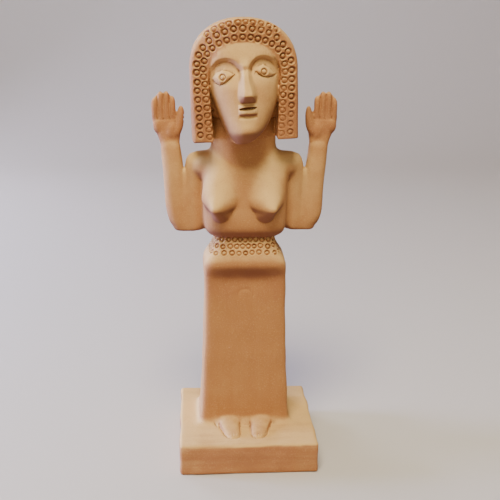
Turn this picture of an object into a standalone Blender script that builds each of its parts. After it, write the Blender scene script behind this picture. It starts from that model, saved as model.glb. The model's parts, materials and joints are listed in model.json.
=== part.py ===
"""Terracotta goddess figurine with raised hands, standing on a square plinth.

The figurine, its plinth and its feet are one piece of fired clay. Metres, +Z up, the front faces -Y, and
the origin is the centre of the plinth's underside. The body's forms are closed shapes that a Boolean
joins, and the sculptor's hollows, cuts and ring stamps are closed shapes that a Boolean takes away.
The figure's pose, proportions and carving are shares of its height, written in figure units, 260 of them
from the plinth's top to the crown. The plinth and the ring stamps have sizes of their own, in metres.
"""

import math

import bmesh
import bpy
from mathutils import Matrix, Vector
from mathutils.bvhtree import BVHTree

# Plinth
PLINTH_WIDTH = 0.088
PLINTH_DEPTH = 0.088
PLINTH_HEIGHT = 0.0205
PLINTH_EDGE_RADIUS = 0.0018

# Figure: its height above the plinth, and where its middle stands on it
FIGURE_HEIGHT = 0.260
FIGURE_SIDE_OFFSET = -0.0013
FIGURE_BACK_OFFSET = 0.006

# Ring stamps, the ends of two thin tubes pressed into the clay
HAIR_RING_DIAMETER = 0.0031
BELT_RING_DIAMETER = 0.0024
IRIS_DIAMETER = 0.0030
RING_GROOVE_WIDTH = 0.0008
RING_GROOVE_DEPTH = 0.0006
HAIR_RING_GAP = 0.0013
BELT_RING_GAP = 0.0010

# Clay
CLAY_COLOUR = (0.62, 0.40, 0.24, 1.0)
CLAY_ROUGHNESS = 0.85

# Fineness of the mesh
STEPS_PER_CORNER = 2
LIMB_SIDES = 10
FINGER_SIDES = 6
NECK_SIDES = 16
FACE_SIDES = 18
HAIR_RING_SIDES = 6
BELT_RING_SIDES = 6
RING_CUTTER_RISE = 0.6
RING_CUTTER_CLEARANCE = 0.0001

UNIT = FIGURE_HEIGHT / 260

# Levels above the plinth's top, in figure units
FOOT_SINK = 2
FOOT_HEIGHT = 5.0
HIP_LEVEL = 110
BELT_LEVEL = 116.5
BELT_PITCH = 3.7
BELT_ROWS = 3
CHEST_FLOOR = 131
BREAST_LEVEL = 147.5
ARMPIT_LEVEL = 168
SHOULDER_LEVEL = 178.5
HEAD_PIVOT_LEVEL = 184
ELBOW_BOTTOM = 127.8
ARM_GAP_BOTTOM = 168
WRIST_LEVEL = 181
KNUCKLE_LEVEL = 199

# Places from the figure's middle, in figure units
SKIRT_HALF_WIDTH = 26.3
WAIST_HALF_WIDTH = 19.4
CHEST_HALF_WIDTH = 26.2
UPPER_ARM_OUT = 31.4
FOREARM_OUT = 43.7
WRIST_OUT = 46.5
HAND_OUT = 50.6
ARM_BACK = 0.5
ARM_RADIUS = 6.3
FINGER_PITCH = 3.7
BREAST_OUT = 18.1
BELT_TURN = 50
FEET_MIDDLE = -1.5
FOOT_LENGTH = 21

# Head, in figure units above and beside its pivot in the neck
HEAD_SIDE_OFFSET = -0.7
HEAD_TILT = math.radians(-1.5)
FACE_TILT = math.radians(-1.5)
FACE_HALF_WIDTH = 21.4
FACE_WIDEST = 44
CHIN_BOTTOM = 5.0
CHIN_LEVEL = 14
FACE_FRONT = -34
HAIR_HALF_WIDTH = 32.3
HAIR_TOP = 76
HAIR_BACK = 18
HAIR_FRONT = -23
HAIR_CUT = 4.4
HAIR_CUT_SLOPE = 0.025
HAIR_INNER_HALF = 21.6
HAIR_INNER_TOP = 62.5
NOTCH_BACK = -2
EYE_OUT = 12.2
EYE_LEVEL = 45.3
EYE_SLOPE = math.radians(-4.5)
MOUTH_LEVEL = 25.4

# The hair's front band as (share of its width from the hairline outwards, how far behind its front)
HAIR_BAND = ((0.0, 0.3), (0.41, -0.9), (0.8, 1.2), (0.94, 4.6), (1.0, 9.5))
# The share of the hair's arch, from each cut end, that is an upright jamb
JAMB = 0.3


def clear_scene():
    for obj in list(bpy.data.objects):
        bpy.data.objects.remove(obj, do_unlink=True)


def clay():
    material = bpy.data.materials.new("terracotta")
    material.use_nodes = True
    shader = material.node_tree.nodes["Principled BSDF"]
    shader.inputs["Base Color"].default_value = CLAY_COLOUR
    shader.inputs["Roughness"].default_value = CLAY_ROUGHNESS
    shader.inputs["Metallic"].default_value = 0.0
    return material


def empty(name, location, parent=None, scale=1.0, tilt=0.0):
    marker = bpy.data.objects.new(name, None)
    marker.location = location
    marker.scale = (scale, scale, scale)
    marker.rotation_euler = (0, tilt, 0)
    marker.parent = parent
    bpy.context.scene.collection.objects.link(marker)
    return marker


def group(name):
    """A collection of helper shapes that a Boolean joins to the piece or takes from it."""
    collection = bpy.data.collections.new(name)
    bpy.context.scene.collection.children.link(collection)
    return collection


def helper(name, points, faces, collection, parent, matrix=None):
    """A closed shape in the parent's frame, seen as a wire and left out of the render."""
    mesh = bpy.data.meshes.new(name)
    mesh.from_pydata([tuple(p) for p in points], [], faces)
    if matrix is not None:
        mesh.transform(matrix)
    form = bmesh.new()
    form.from_mesh(mesh)
    bmesh.ops.recalc_face_normals(form, faces=form.faces)
    form.to_mesh(mesh)
    form.free()
    obj = bpy.data.objects.new(name, mesh)
    obj.parent = parent
    obj.hide_render = True
    obj.display_type = "WIRE"
    collection.objects.link(obj)
    return obj


def skin(rings):
    """Points and faces of a closed skin through rings of equal count, with both ends capped."""
    count = len(rings[0])
    points = [p for ring in rings for p in ring]
    faces = [list(range(count))[::-1], list(range(len(points) - count, len(points)))]
    for r in range(len(rings) - 1):
        for k in range(count):
            a = r * count + k
            b = r * count + (k + 1) % count
            faces.append((a, b, b + count, a + count))
    return points, faces


def rounded_section(level, half_width, front, back, radius, middle=0.0):
    """A level rounded rectangle, anticlockwise from above."""
    corners = (
        (half_width - radius, front + radius, -90),
        (half_width - radius, back - radius, 0),
        (radius - half_width, back - radius, 90),
        (radius - half_width, front + radius, 180),
    )
    ring = []
    for x, y, start in corners:
        for step in range(STEPS_PER_CORNER + 1):
            angle = math.radians(start + 90 * step / STEPS_PER_CORNER)
            ring.append((middle + x + radius * math.cos(angle), y + radius * math.sin(angle), level))
    return ring


def limb_sections(stations, sides, depth=1.0):
    """Rings along a limb in a plane of constant y. A station is (x, y, z, radius), and depth flattens it."""
    rings = []
    for k, (x, y, z, radius) in enumerate(stations):
        before = stations[max(k - 1, 0)]
        after = stations[min(k + 1, len(stations) - 1)]
        along = Vector((after[0] - before[0], 0, after[2] - before[2])).normalized()
        across = Vector((along.z, 0, -along.x))
        ring = []
        for side in range(sides):
            angle = math.tau * (side + 0.5) / sides
            point = Vector((x, y, z)) + across * radius * math.cos(angle)
            ring.append(point + Vector((0, depth * radius * math.sin(angle), 0)))
        rings.append(ring)
    return rings


def ball(name, centre, radii, collection, parent, turn=None, rings=6, sides=12):
    """An oval ball, turned about its own middle."""
    form = bmesh.new()
    bmesh.ops.create_uvsphere(form, u_segments=sides, v_segments=rings, radius=1.0)
    points = [v.co.copy() for v in form.verts]
    faces = [[v.index for v in face.verts] for face in form.faces]
    form.free()
    matrix = Matrix.Translation(centre) @ (turn or Matrix()) @ Matrix.Diagonal((*radii, 1))
    return helper(name, points, faces, collection, parent, matrix)


def between(stations, value):
    """The other numbers of the stations at a value of the first number, and how fast each grows."""
    for low, high in zip(stations, stations[1:]):
        if low[0] <= value <= high[0]:
            slopes = [(b - a) / (high[0] - low[0]) for a, b in zip(low[1:], high[1:])]
            return [a + slope * (value - low[0]) for a, slope in zip(low[1:], slopes)], slopes
    raise ValueError("the value is off the stations")


def skirt_stations():
    """(level, half width, front, back, corner radius) of the skirt and the waist, from the plinth up."""
    half = SKIRT_HALF_WIDTH
    waist = WAIST_HALF_WIDTH
    return [
        (-FOOT_SINK, half + 4.2, -22.0, 21.4, 3.0),
        (0.6, half + 3.2, -20.2, 20.2, 3.0),
        (4, half + 2.4, -19.2, 19.4, 3.4),
        (18, half + 1.5, -18.5, 19.0, 3.8),
        (45, half + 0.4, -17.9, 18.6, 4.4),
        (78, half - 0.1, -17.4, 18.3, 5.0),
        (HIP_LEVEL - 16, half - 0.2, -17.0, 18.3, 5.4),
        (HIP_LEVEL - 6, half, -18.6, 18.6, 6.0),
        (HIP_LEVEL - 1, half, -20.0, 18.8, 6.4),
        (HIP_LEVEL + 2, half - 1.2, -19.9, 18.5, 7.0),
        (BELT_LEVEL - BELT_PITCH / 2, waist + 3.6, -18.6, 17.6, 7.5),
        (BELT_LEVEL + BELT_PITCH / 2, waist + 1.4, -16.2, 16.0, 7.5),
        (BELT_LEVEL + BELT_PITCH * 1.5, waist + 0.3, -13.8, 14.4, 7.5),
        (BELT_LEVEL + BELT_PITCH * 2.5, waist, -12.6, 13.6, 7.5),
        (CHEST_FLOOR - 2, waist, -12.4, 13.4, 7.5),
    ]


def torso_stations():
    """(level, half width, front, back, corner radius) of the trunk, from its overhanging floor up."""
    half = CHEST_HALF_WIDTH
    return [
        (CHEST_FLOOR - 5.4, half - 6.0, -11.4, 12.4, 7.0),
        (CHEST_FLOOR - 2.6, half - 1.8, -15.6, 15.0, 7.5),
        (CHEST_FLOOR, half - 0.4, -18.0, 16.4, 8.0),
        (CHEST_FLOOR + 6, half, -18.8, 17.0, 8.5),
        (BREAST_LEVEL + 6, half, -18.4, 17.0, 8.5),
        (ARMPIT_LEVEL, half + 0.4, -16.6, 16.6, 8.5),
        (SHOULDER_LEVEL - 4.5, half + 1.8, -13.6, 15.4, 8.5),
        (SHOULDER_LEVEL - 1.4, half - 0.2, -9.6, 12.6, 8.0),
        (SHOULDER_LEVEL + 0.6, half - 4.5, -6.4, 9.8, 6.0),
    ]


def front_of_skirt(level):
    """y of the skirt's front at a level, and how far it leans back for each unit up."""
    (_, front, _, _), (_, lean, _, _) = between(skirt_stations(), level)
    return front, lean


def model_trunk(forms, figure):
    """The skirt, the torso and the neck. It gives the skirt."""
    made = []
    for name, stations in (("skirt", skirt_stations()), ("torso", torso_stations())):
        points, faces = skin([rounded_section(*station) for station in stations])
        made.append(helper(name, points, faces, forms, figure))
    neck = []
    for level, half_width, front, back in (
        (ARMPIT_LEVEL, 21.0, -10.0, 14.0),
        (SHOULDER_LEVEL - 2.5, 23.5, -11.0, 14.5),
        (SHOULDER_LEVEL + 2.0, 20.6, -10.5, 14.0),
        (HEAD_PIVOT_LEVEL - 1, 19.2, -10.2, 13.6),
        (HEAD_PIVOT_LEVEL + 14, 18.6, -10.0, 13.2),
    ):
        middle = (front + back) / 2
        ring = []
        for k in range(NECK_SIDES):
            angle = math.tau * k / NECK_SIDES
            x = HEAD_SIDE_OFFSET + half_width * math.cos(angle)
            ring.append((x, middle + (back - middle) * math.sin(angle), level))
        neck.append(ring)
    points, faces = skin(neck)
    helper("neck", points, faces, forms, figure)
    return made[0]


def model_breast(side, forms, figure):
    """A cone with a long upper slope and a short overhung underside, pointing forward and outward."""
    sides = 12
    rings = []
    for inward, half_width, y, up, down, drop in (
        (5.0, 13.6, -15.6, 20.5, 13.0, 0.0),
        (4.4, 11.6, -20.4, 15.0, 10.4, 0.2),
        (3.2, 8.8, -23.8, 9.8, 7.4, 0.6),
        (1.4, 4.8, -27.0, 5.0, 3.8, 1.2),
        (0.2, 1.6, -29.6, 1.6, 1.2, 1.7),
    ):
        ring = []
        for k in range(sides):
            angle = math.tau * k / sides
            reach = up if math.sin(angle) > 0 else down
            x = side * (BREAST_OUT - inward) - 1 + half_width * math.cos(angle)
            ring.append((x, y, BREAST_LEVEL - drop + reach * math.sin(angle)))
        rings.append(ring)
    points, faces = skin(rings)
    helper(f"breast_{side}", points, faces, forms, figure)


def model_arm(side, forms, figure):
    """The upper arm hangs beside the trunk, the forearm stands beside it, and clay fills between them."""
    y = ARM_BACK
    upper = UPPER_ARM_OUT * side
    fore = FOREARM_OUT * side
    shoulder = SHOULDER_LEVEL - ARM_RADIUS - 1
    limbs = {
        "upper_arm": [
            (upper - 1.5 * side, y, ELBOW_BOTTOM + 0.4, ARM_RADIUS - 2.5),
            (upper - 1.5 * side, y, ELBOW_BOTTOM + 3, ARM_RADIUS - 0.6),
            (upper, y, ELBOW_BOTTOM + 10, ARM_RADIUS),
            (upper, y, shoulder - 8, ARM_RADIUS),
            (upper - 0.4 * side, y, shoulder + 1.4, ARM_RADIUS - 0.2),
            (upper - 1.4 * side, y, shoulder + 4.6, ARM_RADIUS - 1.4),
            (upper - 2.6 * side, y, shoulder + 6.4, ARM_RADIUS - 3.4),
        ],
        "shoulder": [
            (upper - 22 * side, y, shoulder + 1.0, ARM_RADIUS + 0.8),
            (upper - 8 * side, y, shoulder + 1.0, ARM_RADIUS + 0.8),
            (upper - 3 * side, y, shoulder + 0.4, ARM_RADIUS),
            (upper + 1.5 * side, y, shoulder - 0.6, ARM_RADIUS - 2.0),
        ],
        "forearm": [
            (fore - 2.4 * side, y, ELBOW_BOTTOM + 0.8, ARM_RADIUS - 2.6),
            (fore - 1.4 * side, y, ELBOW_BOTTOM + 3.4, ARM_RADIUS - 0.8),
            (fore - 0.4 * side, y, ELBOW_BOTTOM + 8, ARM_RADIUS + 0.1),
            (fore + 0.2 * side, y, ELBOW_BOTTOM + 20, ARM_RADIUS + 0.2),
            (fore + 1.0 * side, y, ARM_GAP_BOTTOM - 4, ARM_RADIUS + 0.1),
            (WRIST_OUT * side, y, WRIST_LEVEL, ARM_RADIUS - 0.3),
            (WRIST_OUT * side, y, WRIST_LEVEL + 4, ARM_RADIUS - 0.6),
        ],
    }
    for name, stations in limbs.items():
        points, faces = skin(limb_sections(stations, LIMB_SIDES, depth=0.94))
        helper(f"{name}_{side}", points, faces, forms, figure)
    middle = (upper + fore) / 2
    web = (
        (ELBOW_BOTTOM, 5.0, 2.6, 2.0),
        (ELBOW_BOTTOM + 1.6, 8.0, 4.0, 3.0),
        (ELBOW_BOTTOM + 6, 9.0, 4.8, 3.4),
        (ARM_GAP_BOTTOM - 10, 8.0, 4.6, 3.4),
        (ARM_GAP_BOTTOM, 5.0, 3.4, 2.4),
    )
    rings = []
    for level, half_width, reach, radius in web:
        rings.append(rounded_section(level, half_width, y - reach, y + reach, radius, middle))
    points, faces = skin(rings)
    helper(f"elbow_web_{side}", points, faces, forms, figure)


def model_hand(side, forms, figure):
    """A flat palm with four fingers together and the thumb apart, beside the head."""
    y = ARM_BACK
    wrist = WRIST_OUT * side
    middle = HAND_OUT * side
    palm = [
        (wrist, y, WRIST_LEVEL - 3, 5.4),
        (wrist, y, WRIST_LEVEL + 1, 5.8),
        (wrist + 0.6 * side, y, WRIST_LEVEL + 6, 7.4),
        (middle - 2.0 * side, y, WRIST_LEVEL + 11, 8.6),
        (middle - 0.6 * side, y, KNUCKLE_LEVEL, 8.0),
        (middle, y, KNUCKLE_LEVEL + 2.4, 6.6),
    ]
    points, faces = skin(limb_sections(palm, LIMB_SIDES, depth=0.46))
    helper(f"palm_{side}", points, faces, forms, figure)
    for finger, length in enumerate((14.0, 17.6, 17.4, 13.0)):
        x = middle + side * FINGER_PITCH * (finger - 1.5)
        radius = FINGER_PITCH * 0.56
        root = KNUCKLE_LEVEL - 3
        tip = KNUCKLE_LEVEL + length
        stations = [
            (x, y - 0.2, root, radius),
            (x + 0.2 * side, y - 0.2, tip - radius * 0.9, radius),
            (x + 0.2 * side, y - 0.2, tip - radius * 0.15, radius * 0.55),
        ]
        points, faces = skin(limb_sections(stations, FINGER_SIDES, depth=1.08))
        helper(f"finger_{side}_{finger}", points, faces, forms, figure)
    thumb = [
        (wrist - 2.4 * side, y - 0.6, WRIST_LEVEL + 5, 2.9),
        (wrist - 5.8 * side, y - 0.6, WRIST_LEVEL + 13, 3.0),
        (wrist - 6.8 * side, y - 0.6, WRIST_LEVEL + 20, 2.5),
        (wrist - 6.9 * side, y - 0.6, WRIST_LEVEL + 24, 2.0),
        (wrist - 6.9 * side, y - 0.6, WRIST_LEVEL + 25.6, 1.0),
    ]
    points, faces = skin(limb_sections(thumb, FINGER_SIDES))
    helper(f"thumb_{side}", points, faces, forms, figure)


def foot_edges(share):
    """How far the foot's inner and outer edges are from the line between the feet, from heel to toe."""
    inner = 3.8
    (outer,), _ = between(((-0.5, 18.4), (0.3, 16.6), (0.8, 13.0), (0.95, 11.0), (1.0, 9.4)), share)
    return inner + max(0.0, share - 0.9) * 12, outer


def model_foot(side, forms, cuts, figure):
    """A low foot from under the hem to its toes, with a groove drawn round it on the plinth."""
    heel = front_of_skirt(4)[0]
    rings = []
    for share, height in ((-0.25, 1.3), (0.02, 1.0), (0.35, 0.62), (0.65, 0.38), (0.92, 0.24), (1.0, 0.12)):
        inner, outer = foot_edges(share)
        y = heel - FOOT_LENGTH * share
        middle = FEET_MIDDLE + side * (inner + outer) / 2
        half = (outer - inner) / 2
        crest = FOOT_HEIGHT * height
        section = [(half, -FOOT_SINK), (half, crest * 0.4), (half * 0.62, crest * 0.9), (0, crest)]
        section += [(-x, z) for x, z in reversed(section[:3])]
        rings.append([(middle + x, y, z) for x, z in section])
    points, faces = skin(rings)
    helper(f"foot_{side}", points, faces, forms, figure)
    outline = []
    shares = (0.1, 0.35, 0.6, 0.8, 0.93, 1.0)
    for share in shares:
        outline.append((foot_edges(share)[1] + 0.5, heel - FOOT_LENGTH * share - max(0, share - 0.9) * 6))
    for share in reversed(shares):
        outline.append((foot_edges(share)[0] - 0.5, heel - FOOT_LENGTH * share - max(0, share - 0.9) * 6))
    groove = []
    for k, (out, y) in enumerate(outline):
        x = FEET_MIDDLE + side * out
        ahead = Vector(outline[min(k + 1, len(outline) - 1)])
        behind = Vector(outline[max(k - 1, 0)])
        along = (ahead - behind).normalized()
        across = Vector((along.y * side, -along.x)) * 0.55
        groove.append(
            [(x - across.x, y - across.y, 0.55), (x, y, -0.75), (x + across.x, y + across.y, 0.55)]
        )
    points, faces = skin(groove)
    helper(f"foot_line_{side}", points, faces, cuts, figure)


def hair_point(place, share, y):
    """A point of the hair. place runs 0 to 1 from the left end over the crown to the right end, and share
    runs 0 to 1 from the hairline to the outline."""
    half = HAIR_INNER_HALF + share * (HAIR_HALF_WIDTH - HAIR_INNER_HALF)
    top = HAIR_INNER_TOP + share * (HAIR_TOP - HAIR_INNER_TOP)
    spring = 44 + share * 2
    end = min(place, 1 - place)
    side = -1 if place < 0.5 else 1
    if end < JAMB:
        up = end / JAMB
        x = side * (half - (1 - share) * 2.6 * (1 - up))
        cut = HAIR_CUT + HAIR_CUT_SLOPE * x
        z = cut + (spring - cut) * up
    else:
        power = 2 / 2.25
        angle = math.pi / 2 * (end - JAMB) / (0.5 - JAMB)
        x = side * half * max(math.cos(angle), 0.0) ** power
        z = spring + (top - spring) * math.sin(angle) ** power
    rise = min(1.0, max(0.0, z - 30) / 20)
    if y < NOTCH_BACK:
        y -= 5.0 * max(0.0, 1 - (x / 24) ** 2) * rise
    fall = 7 * (max(0.0, y) / HAIR_BACK) ** 2 * rise
    return Vector((x, y, z - fall))


def band_depth(share):
    """y of the hair's front band at a share of its width."""
    (behind,), _ = between(HAIR_BAND, share)
    return HAIR_FRONT + behind


def model_hair(forms, head):
    """A wig cut straight at the shoulders, open in front for the face."""
    jamb = [JAMB * k / 2 for k in range(2)]
    dome = [JAMB + (1 - 2 * JAMB) * k / 12 for k in range(13)]
    places = jamb + dome + [1 - p for p in reversed(jamb)]
    levels = [(0.0, NOTCH_BACK)]
    levels += [(share, band_depth(share)) for share, _ in HAIR_BAND]
    levels += [(1.0, HAIR_BACK - 22), (0.97, HAIR_BACK - 11), (0.82, HAIR_BACK - 4)]
    levels += [(0.5, HAIR_BACK - 0.6), (0.2, HAIR_BACK)]
    rows = [[hair_point(place, share, y) for place in places] for share, y in levels]
    count = len(places)
    points = [p for row in rows for p in row]
    faces = [list(range(count)), list(range(len(points) - count, len(points)))]
    for r in range(len(rows) - 1):
        for k in range(count - 1):
            a = r * count + k
            b = a + count
            if 2 * k < count - 1:
                faces += [(a, a + 1, b + 1), (a, b + 1, b)]
            else:
                faces += [(a, a + 1, b), (a + 1, b + 1, b)]
    left = [r * count for r in range(len(rows))]
    right = [r * count + count - 1 for r in range(len(rows))]
    faces.append(left + right[::-1])
    return helper("hair", points, faces, forms, head)


def face_half_width(level):
    """Half width of the face, an upturned egg that is widest at the eyes."""
    if level >= FACE_WIDEST:
        return FACE_HALF_WIDTH - 1.6 * ((level - FACE_WIDEST) / 20) ** 2
    share = (FACE_WIDEST - level) / (FACE_WIDEST - CHIN_BOTTOM)
    return FACE_HALF_WIDTH * max(1 - share**2, 0.02) ** 0.56


def face_front(level):
    """y of the face's middle line without the nose: the chin and the forehead curve back."""
    if level < CHIN_LEVEL:
        share = (CHIN_LEVEL - level) / (CHIN_LEVEL - CHIN_BOTTOM)
        return FACE_FRONT + 11.0 * share**2.4
    return FACE_FRONT + 0.07 * (level - CHIN_LEVEL) + 0.01 * max(level - 48, 0) ** 2


def model_face(forms, cuts, added, stamps, face):
    middle = -9
    rings = []
    for level in (CHIN_BOTTOM, 6.0, 9, 13, 19, 27, 36, 46, 56, 66):
        half = face_half_width(level)
        forward = middle - face_front(level)
        ring = []
        for k in range(FACE_SIDES):
            angle = math.tau * k / FACE_SIDES
            depth = forward if math.sin(angle) < 0 else min(6.0, half * 0.5)
            ring.append((half * math.cos(angle), middle + depth * math.sin(angle), level))
        rings.append(ring)
    points, faces = skin(rings)
    helper("face", points, faces, forms, face)
    model_nose(added, face)
    for side in (-1, 1):
        model_eye(side, cuts, added, stamps, face)
    y = face_front(MOUTH_LEVEL)
    ball("lips", (0, y + 0.8, MOUTH_LEVEL - 0.2), (5.4, 2.2, 3.8), added, face, sides=10)


def model_nose(added, face):
    """A long straight nose with a flat ridge, which springs from between the brows."""
    rings = []
    for level, half_root, half_ridge, out in (
        (28.4, 4.8, 3.2, -2.0),
        (29.6, 5.4, 3.6, 4.4),
        (31.4, 5.4, 3.2, 7.2),
        (34.0, 5.0, 2.7, 6.6),
        (42.0, 3.9, 2.3, 4.2),
        (50.0, 3.4, 2.2, 1.9),
        (55.0, 3.2, 1.8, -0.8),
    ):
        y = face_front(level)
        profile = [(half_root, 3.0), (half_root, -0.1 * out)]
        profile += [(half_ridge, -0.85 * out), (half_ridge * 0.4, -out)]
        profile += [(-x, reach) for x, reach in reversed(profile)]
        rings.append([(x, y + reach, level) for x, reach in profile])
    points, faces = skin(rings)
    helper("nose", points, faces, added, face)


def model_eye(side, cuts, added, stamps, face):
    """A socket scooped under an arched brow, and an almond eyeball with a ring for its iris."""
    turn = Matrix.Rotation(math.radians(22) * side, 4, "Z")
    lean = Matrix.Rotation(math.radians(-14), 4, "X")
    level = EYE_LEVEL - side * EYE_OUT * math.tan(EYE_SLOPE)
    y = face_front(level) + 2.6
    sides = 18
    socket = []
    for reach in (-12, 1.2):
        angles = [math.tau * k / sides for k in range(sides)]
        socket.append([(9.4 * math.cos(angle), reach, 9.4 * math.sin(angle)) for angle in angles])
    points, faces = skin(socket)
    matrix = Matrix.Translation((EYE_OUT * side, y, level + 0.6)) @ turn @ lean
    helper(f"socket_{side}", points, faces, cuts, face, matrix)
    slant = Matrix.Rotation(math.radians(8) * side, 4, "Y")
    centre = Vector((EYE_OUT * side, y + 1.4, level))
    eyeball = ball(f"eyeball_{side}", centre, (7.2, 3.2, 3.9), added, face, turn @ slant)
    gaze = [centre + Vector((0, -4, 0.3))]
    press_rings(gaze, eyeball, IRIS_DIAMETER, HAIR_RING_SIDES, f"iris_{side}", stamps, face)


def ring_cutter(centre, normal, diameter, sides):
    """Points and faces of a stamped ring: a closed band with its keen edge down in the clay."""
    up = Vector(normal).normalized()
    right = up.orthogonal().normalized()
    other = up.cross(right)
    radius = diameter / 2 / UNIT
    rim = RING_CUTTER_RISE * RING_GROOVE_DEPTH / UNIT
    spread = (1 + RING_CUTTER_RISE) * RING_GROOVE_WIDTH / 2 / UNIT
    section = ((radius, -RING_GROOVE_DEPTH / UNIT), (radius + spread, rim), (radius - spread, rim))
    points = []
    for k in range(sides):
        angle = math.tau * (k + 0.5) / sides
        out = right * math.cos(angle) + other * math.sin(angle)
        points += [Vector(centre) + out * reach + up * height for reach, height in section]
    faces = []
    for k in range(sides):
        a = 3 * k
        b = 3 * ((k + 1) % sides)
        for corner in range(3):
            following = (corner + 1) % 3
            faces.append((a + corner, b + corner, b + following, a + following))
    return points, faces


def stamps_along(curve, pitch, first, taken, clear):
    """Points at an even pitch along a curve, clear of those already taken."""
    left = first
    for here, there in zip(curve, curve[1:]):
        left -= (there - here).length
        if left <= 0:
            left += pitch
            if all((there - other).length >= clear for other in taken):
                taken.append(there)


def press_rings(centres, form, diameter, sides, name, stamps, parent):
    """Ring cutters square to the form's surface at the points nearest to the centres."""
    corners = [v.co for v in form.data.vertices]
    surface = BVHTree.FromPolygons(corners, [p.vertices for p in form.data.polygons])
    points = []
    faces = []
    for centre in centres:
        place, normal, _, _ = surface.find_nearest(centre)
        ring_points, ring_faces = ring_cutter(place, normal, diameter, sides)
        faces += [[len(points) + index for index in face] for face in ring_faces]
        points += ring_points
    helper(name, points, faces, stamps, parent)


def ring_pitch(diameter, gap):
    """The distance between two rings of a row, and the least that leaves their cutters apart."""
    reach = diameter + RING_GROOVE_WIDTH * (1 + RING_CUTTER_RISE) + RING_CUTTER_CLEARANCE
    return max(diameter + RING_GROOVE_WIDTH + gap, reach) / UNIT, reach / UNIT


def stamp_hair(hair, stamps, head):
    """Rings in rows that follow the hairline: two from end to end, and one more over the crown."""
    pitch, clear = ring_pitch(HAIR_RING_DIAMETER, HAIR_RING_GAP)
    samples = 400
    rows = ((0.2, 0.03, 0.98, 0), (0.62, 0.02, 0.98, pitch / 2), (0.87, 0.37, 0.63, 0))
    taken = []
    for share, start, end, first in rows:
        places = [start + (end - start) * k / samples for k in range(samples + 1)]
        curve = [hair_point(place, share, band_depth(share)) for place in places]
        stamps_along(curve, pitch, first, taken, clear)
    press_rings(taken, hair, HAIR_RING_DIAMETER, HAIR_RING_SIDES, "hair_rings", stamps, head)


def belt_curve(level):
    """The line round the front of the waist and its two corners."""
    (half, front, _, radius), _ = between(skirt_stations(), level)
    samples = 60
    corner = []
    for k in range(samples + 1):
        angle = math.radians(BELT_TURN) * (1 - k / samples)
        x = half - radius + radius * math.sin(angle)
        corner.append(Vector((-x, front + radius * (1 - math.cos(angle)), level)))
    flat = half - radius
    middle = [Vector((flat * (2 * k / samples - 1), front, level)) for k in range(1, samples)]
    return corner + middle + [Vector((-p.x, p.y, level)) for p in reversed(corner)]


def stamp_belt(skirt, stamps, figure):
    """Staggered rows of smaller rings round the front of the waist."""
    pitch, clear = ring_pitch(BELT_RING_DIAMETER, BELT_RING_GAP)
    taken = []
    for row in range(BELT_ROWS):
        curve = belt_curve(BELT_LEVEL + row * BELT_PITCH)
        stamps_along(curve, pitch, pitch / 2 * (row % 2), taken, min(clear, BELT_PITCH))
    press_rings(taken, skirt, BELT_RING_DIAMETER, BELT_RING_SIDES, "belt_rings", stamps, figure)


def cut_mouth(stamps, face):
    y = face_front(MOUTH_LEVEL) - 2.0
    ball("mouth_slit", (0, y, MOUTH_LEVEL), (4.8, 2.3, 0.9), stamps, face, sides=10)


def cut_belly_fold(stamps, figure):
    """The small arched fold drawn on the skirt under the belly."""
    radius = 5.2
    middle = HIP_LEVEL - 21
    steps = 8
    rings = []
    for k in range(steps + 1):
        angle = math.radians(20 + 140 * k / steps)
        out = Vector((math.cos(angle), 0, math.sin(angle)))
        level = middle + radius * out.z
        on_skirt = Vector((radius * out.x + 1, front_of_skirt(level)[0], level))
        lip = Vector((0, -0.5, 0))
        rings.append([on_skirt + out * 0.6 + lip, on_skirt + Vector((0, 0.7, 0)), on_skirt - out * 0.6 + lip])
    points, faces = skin(rings)
    helper("belly_fold", points, faces, stamps, figure)


def boolean(obj, name, operation, collection, solver="EXACT"):
    modifier = obj.modifiers.new(name, "BOOLEAN")
    modifier.operation = operation
    modifier.operand_type = "COLLECTION"
    modifier.collection = collection
    modifier.solver = solver


def model_plinth():
    """The plinth's block, which the other forms are joined to."""
    mesh = bpy.data.meshes.new("figurine")
    block = bmesh.new()
    bmesh.ops.create_cube(block, size=1.0)
    size = Matrix.Diagonal((PLINTH_WIDTH, PLINTH_DEPTH, PLINTH_HEIGHT, 1))
    bmesh.ops.transform(block, matrix=size, verts=block.verts)
    bmesh.ops.translate(block, vec=(0, 0, PLINTH_HEIGHT / 2), verts=block.verts)
    block.to_mesh(mesh)
    block.free()
    obj = bpy.data.objects.new("figurine", mesh)
    bpy.context.scene.collection.objects.link(obj)
    bevel = obj.modifiers.new("rounded edges", "BEVEL")
    bevel.width = PLINTH_EDGE_RADIUS
    bevel.segments = 2
    bevel.limit_method = "NONE"
    return obj


def main():
    clear_scene()
    figurine = model_plinth()
    figurine.data.materials.append(clay())
    figure = empty("figure", (FIGURE_SIDE_OFFSET, FIGURE_BACK_OFFSET, PLINTH_HEIGHT), scale=UNIT)
    head = empty("head", (HEAD_SIDE_OFFSET, 0, HEAD_PIVOT_LEVEL), parent=figure, tilt=HEAD_TILT)
    face = empty("face_axis", (0, 0, 0), parent=head, tilt=FACE_TILT)
    forms = group("modelled forms")
    cuts = group("scooped hollows")
    added = group("added clay")
    stamps = group("stamps and slits")
    skirt = model_trunk(forms, figure)
    for side in (-1, 1):
        model_breast(side, forms, figure)
        model_arm(side, forms, figure)
        model_hand(side, forms, figure)
        model_foot(side, forms, cuts, figure)
    hair = model_hair(forms, head)
    model_face(forms, cuts, added, stamps, face)
    stamp_hair(hair, stamps, head)
    stamp_belt(skirt, stamps, figure)
    cut_mouth(stamps, face)
    cut_belly_fold(stamps, figure)
    boolean(figurine, "join the forms", "UNION", forms)
    boolean(figurine, "scoop the hollows", "DIFFERENCE", cuts)
    boolean(figurine, "add eyes, nose and lips", "UNION", added)
    boolean(figurine, "press the stamps", "DIFFERENCE", stamps, solver="MANIFOLD")


main()
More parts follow.
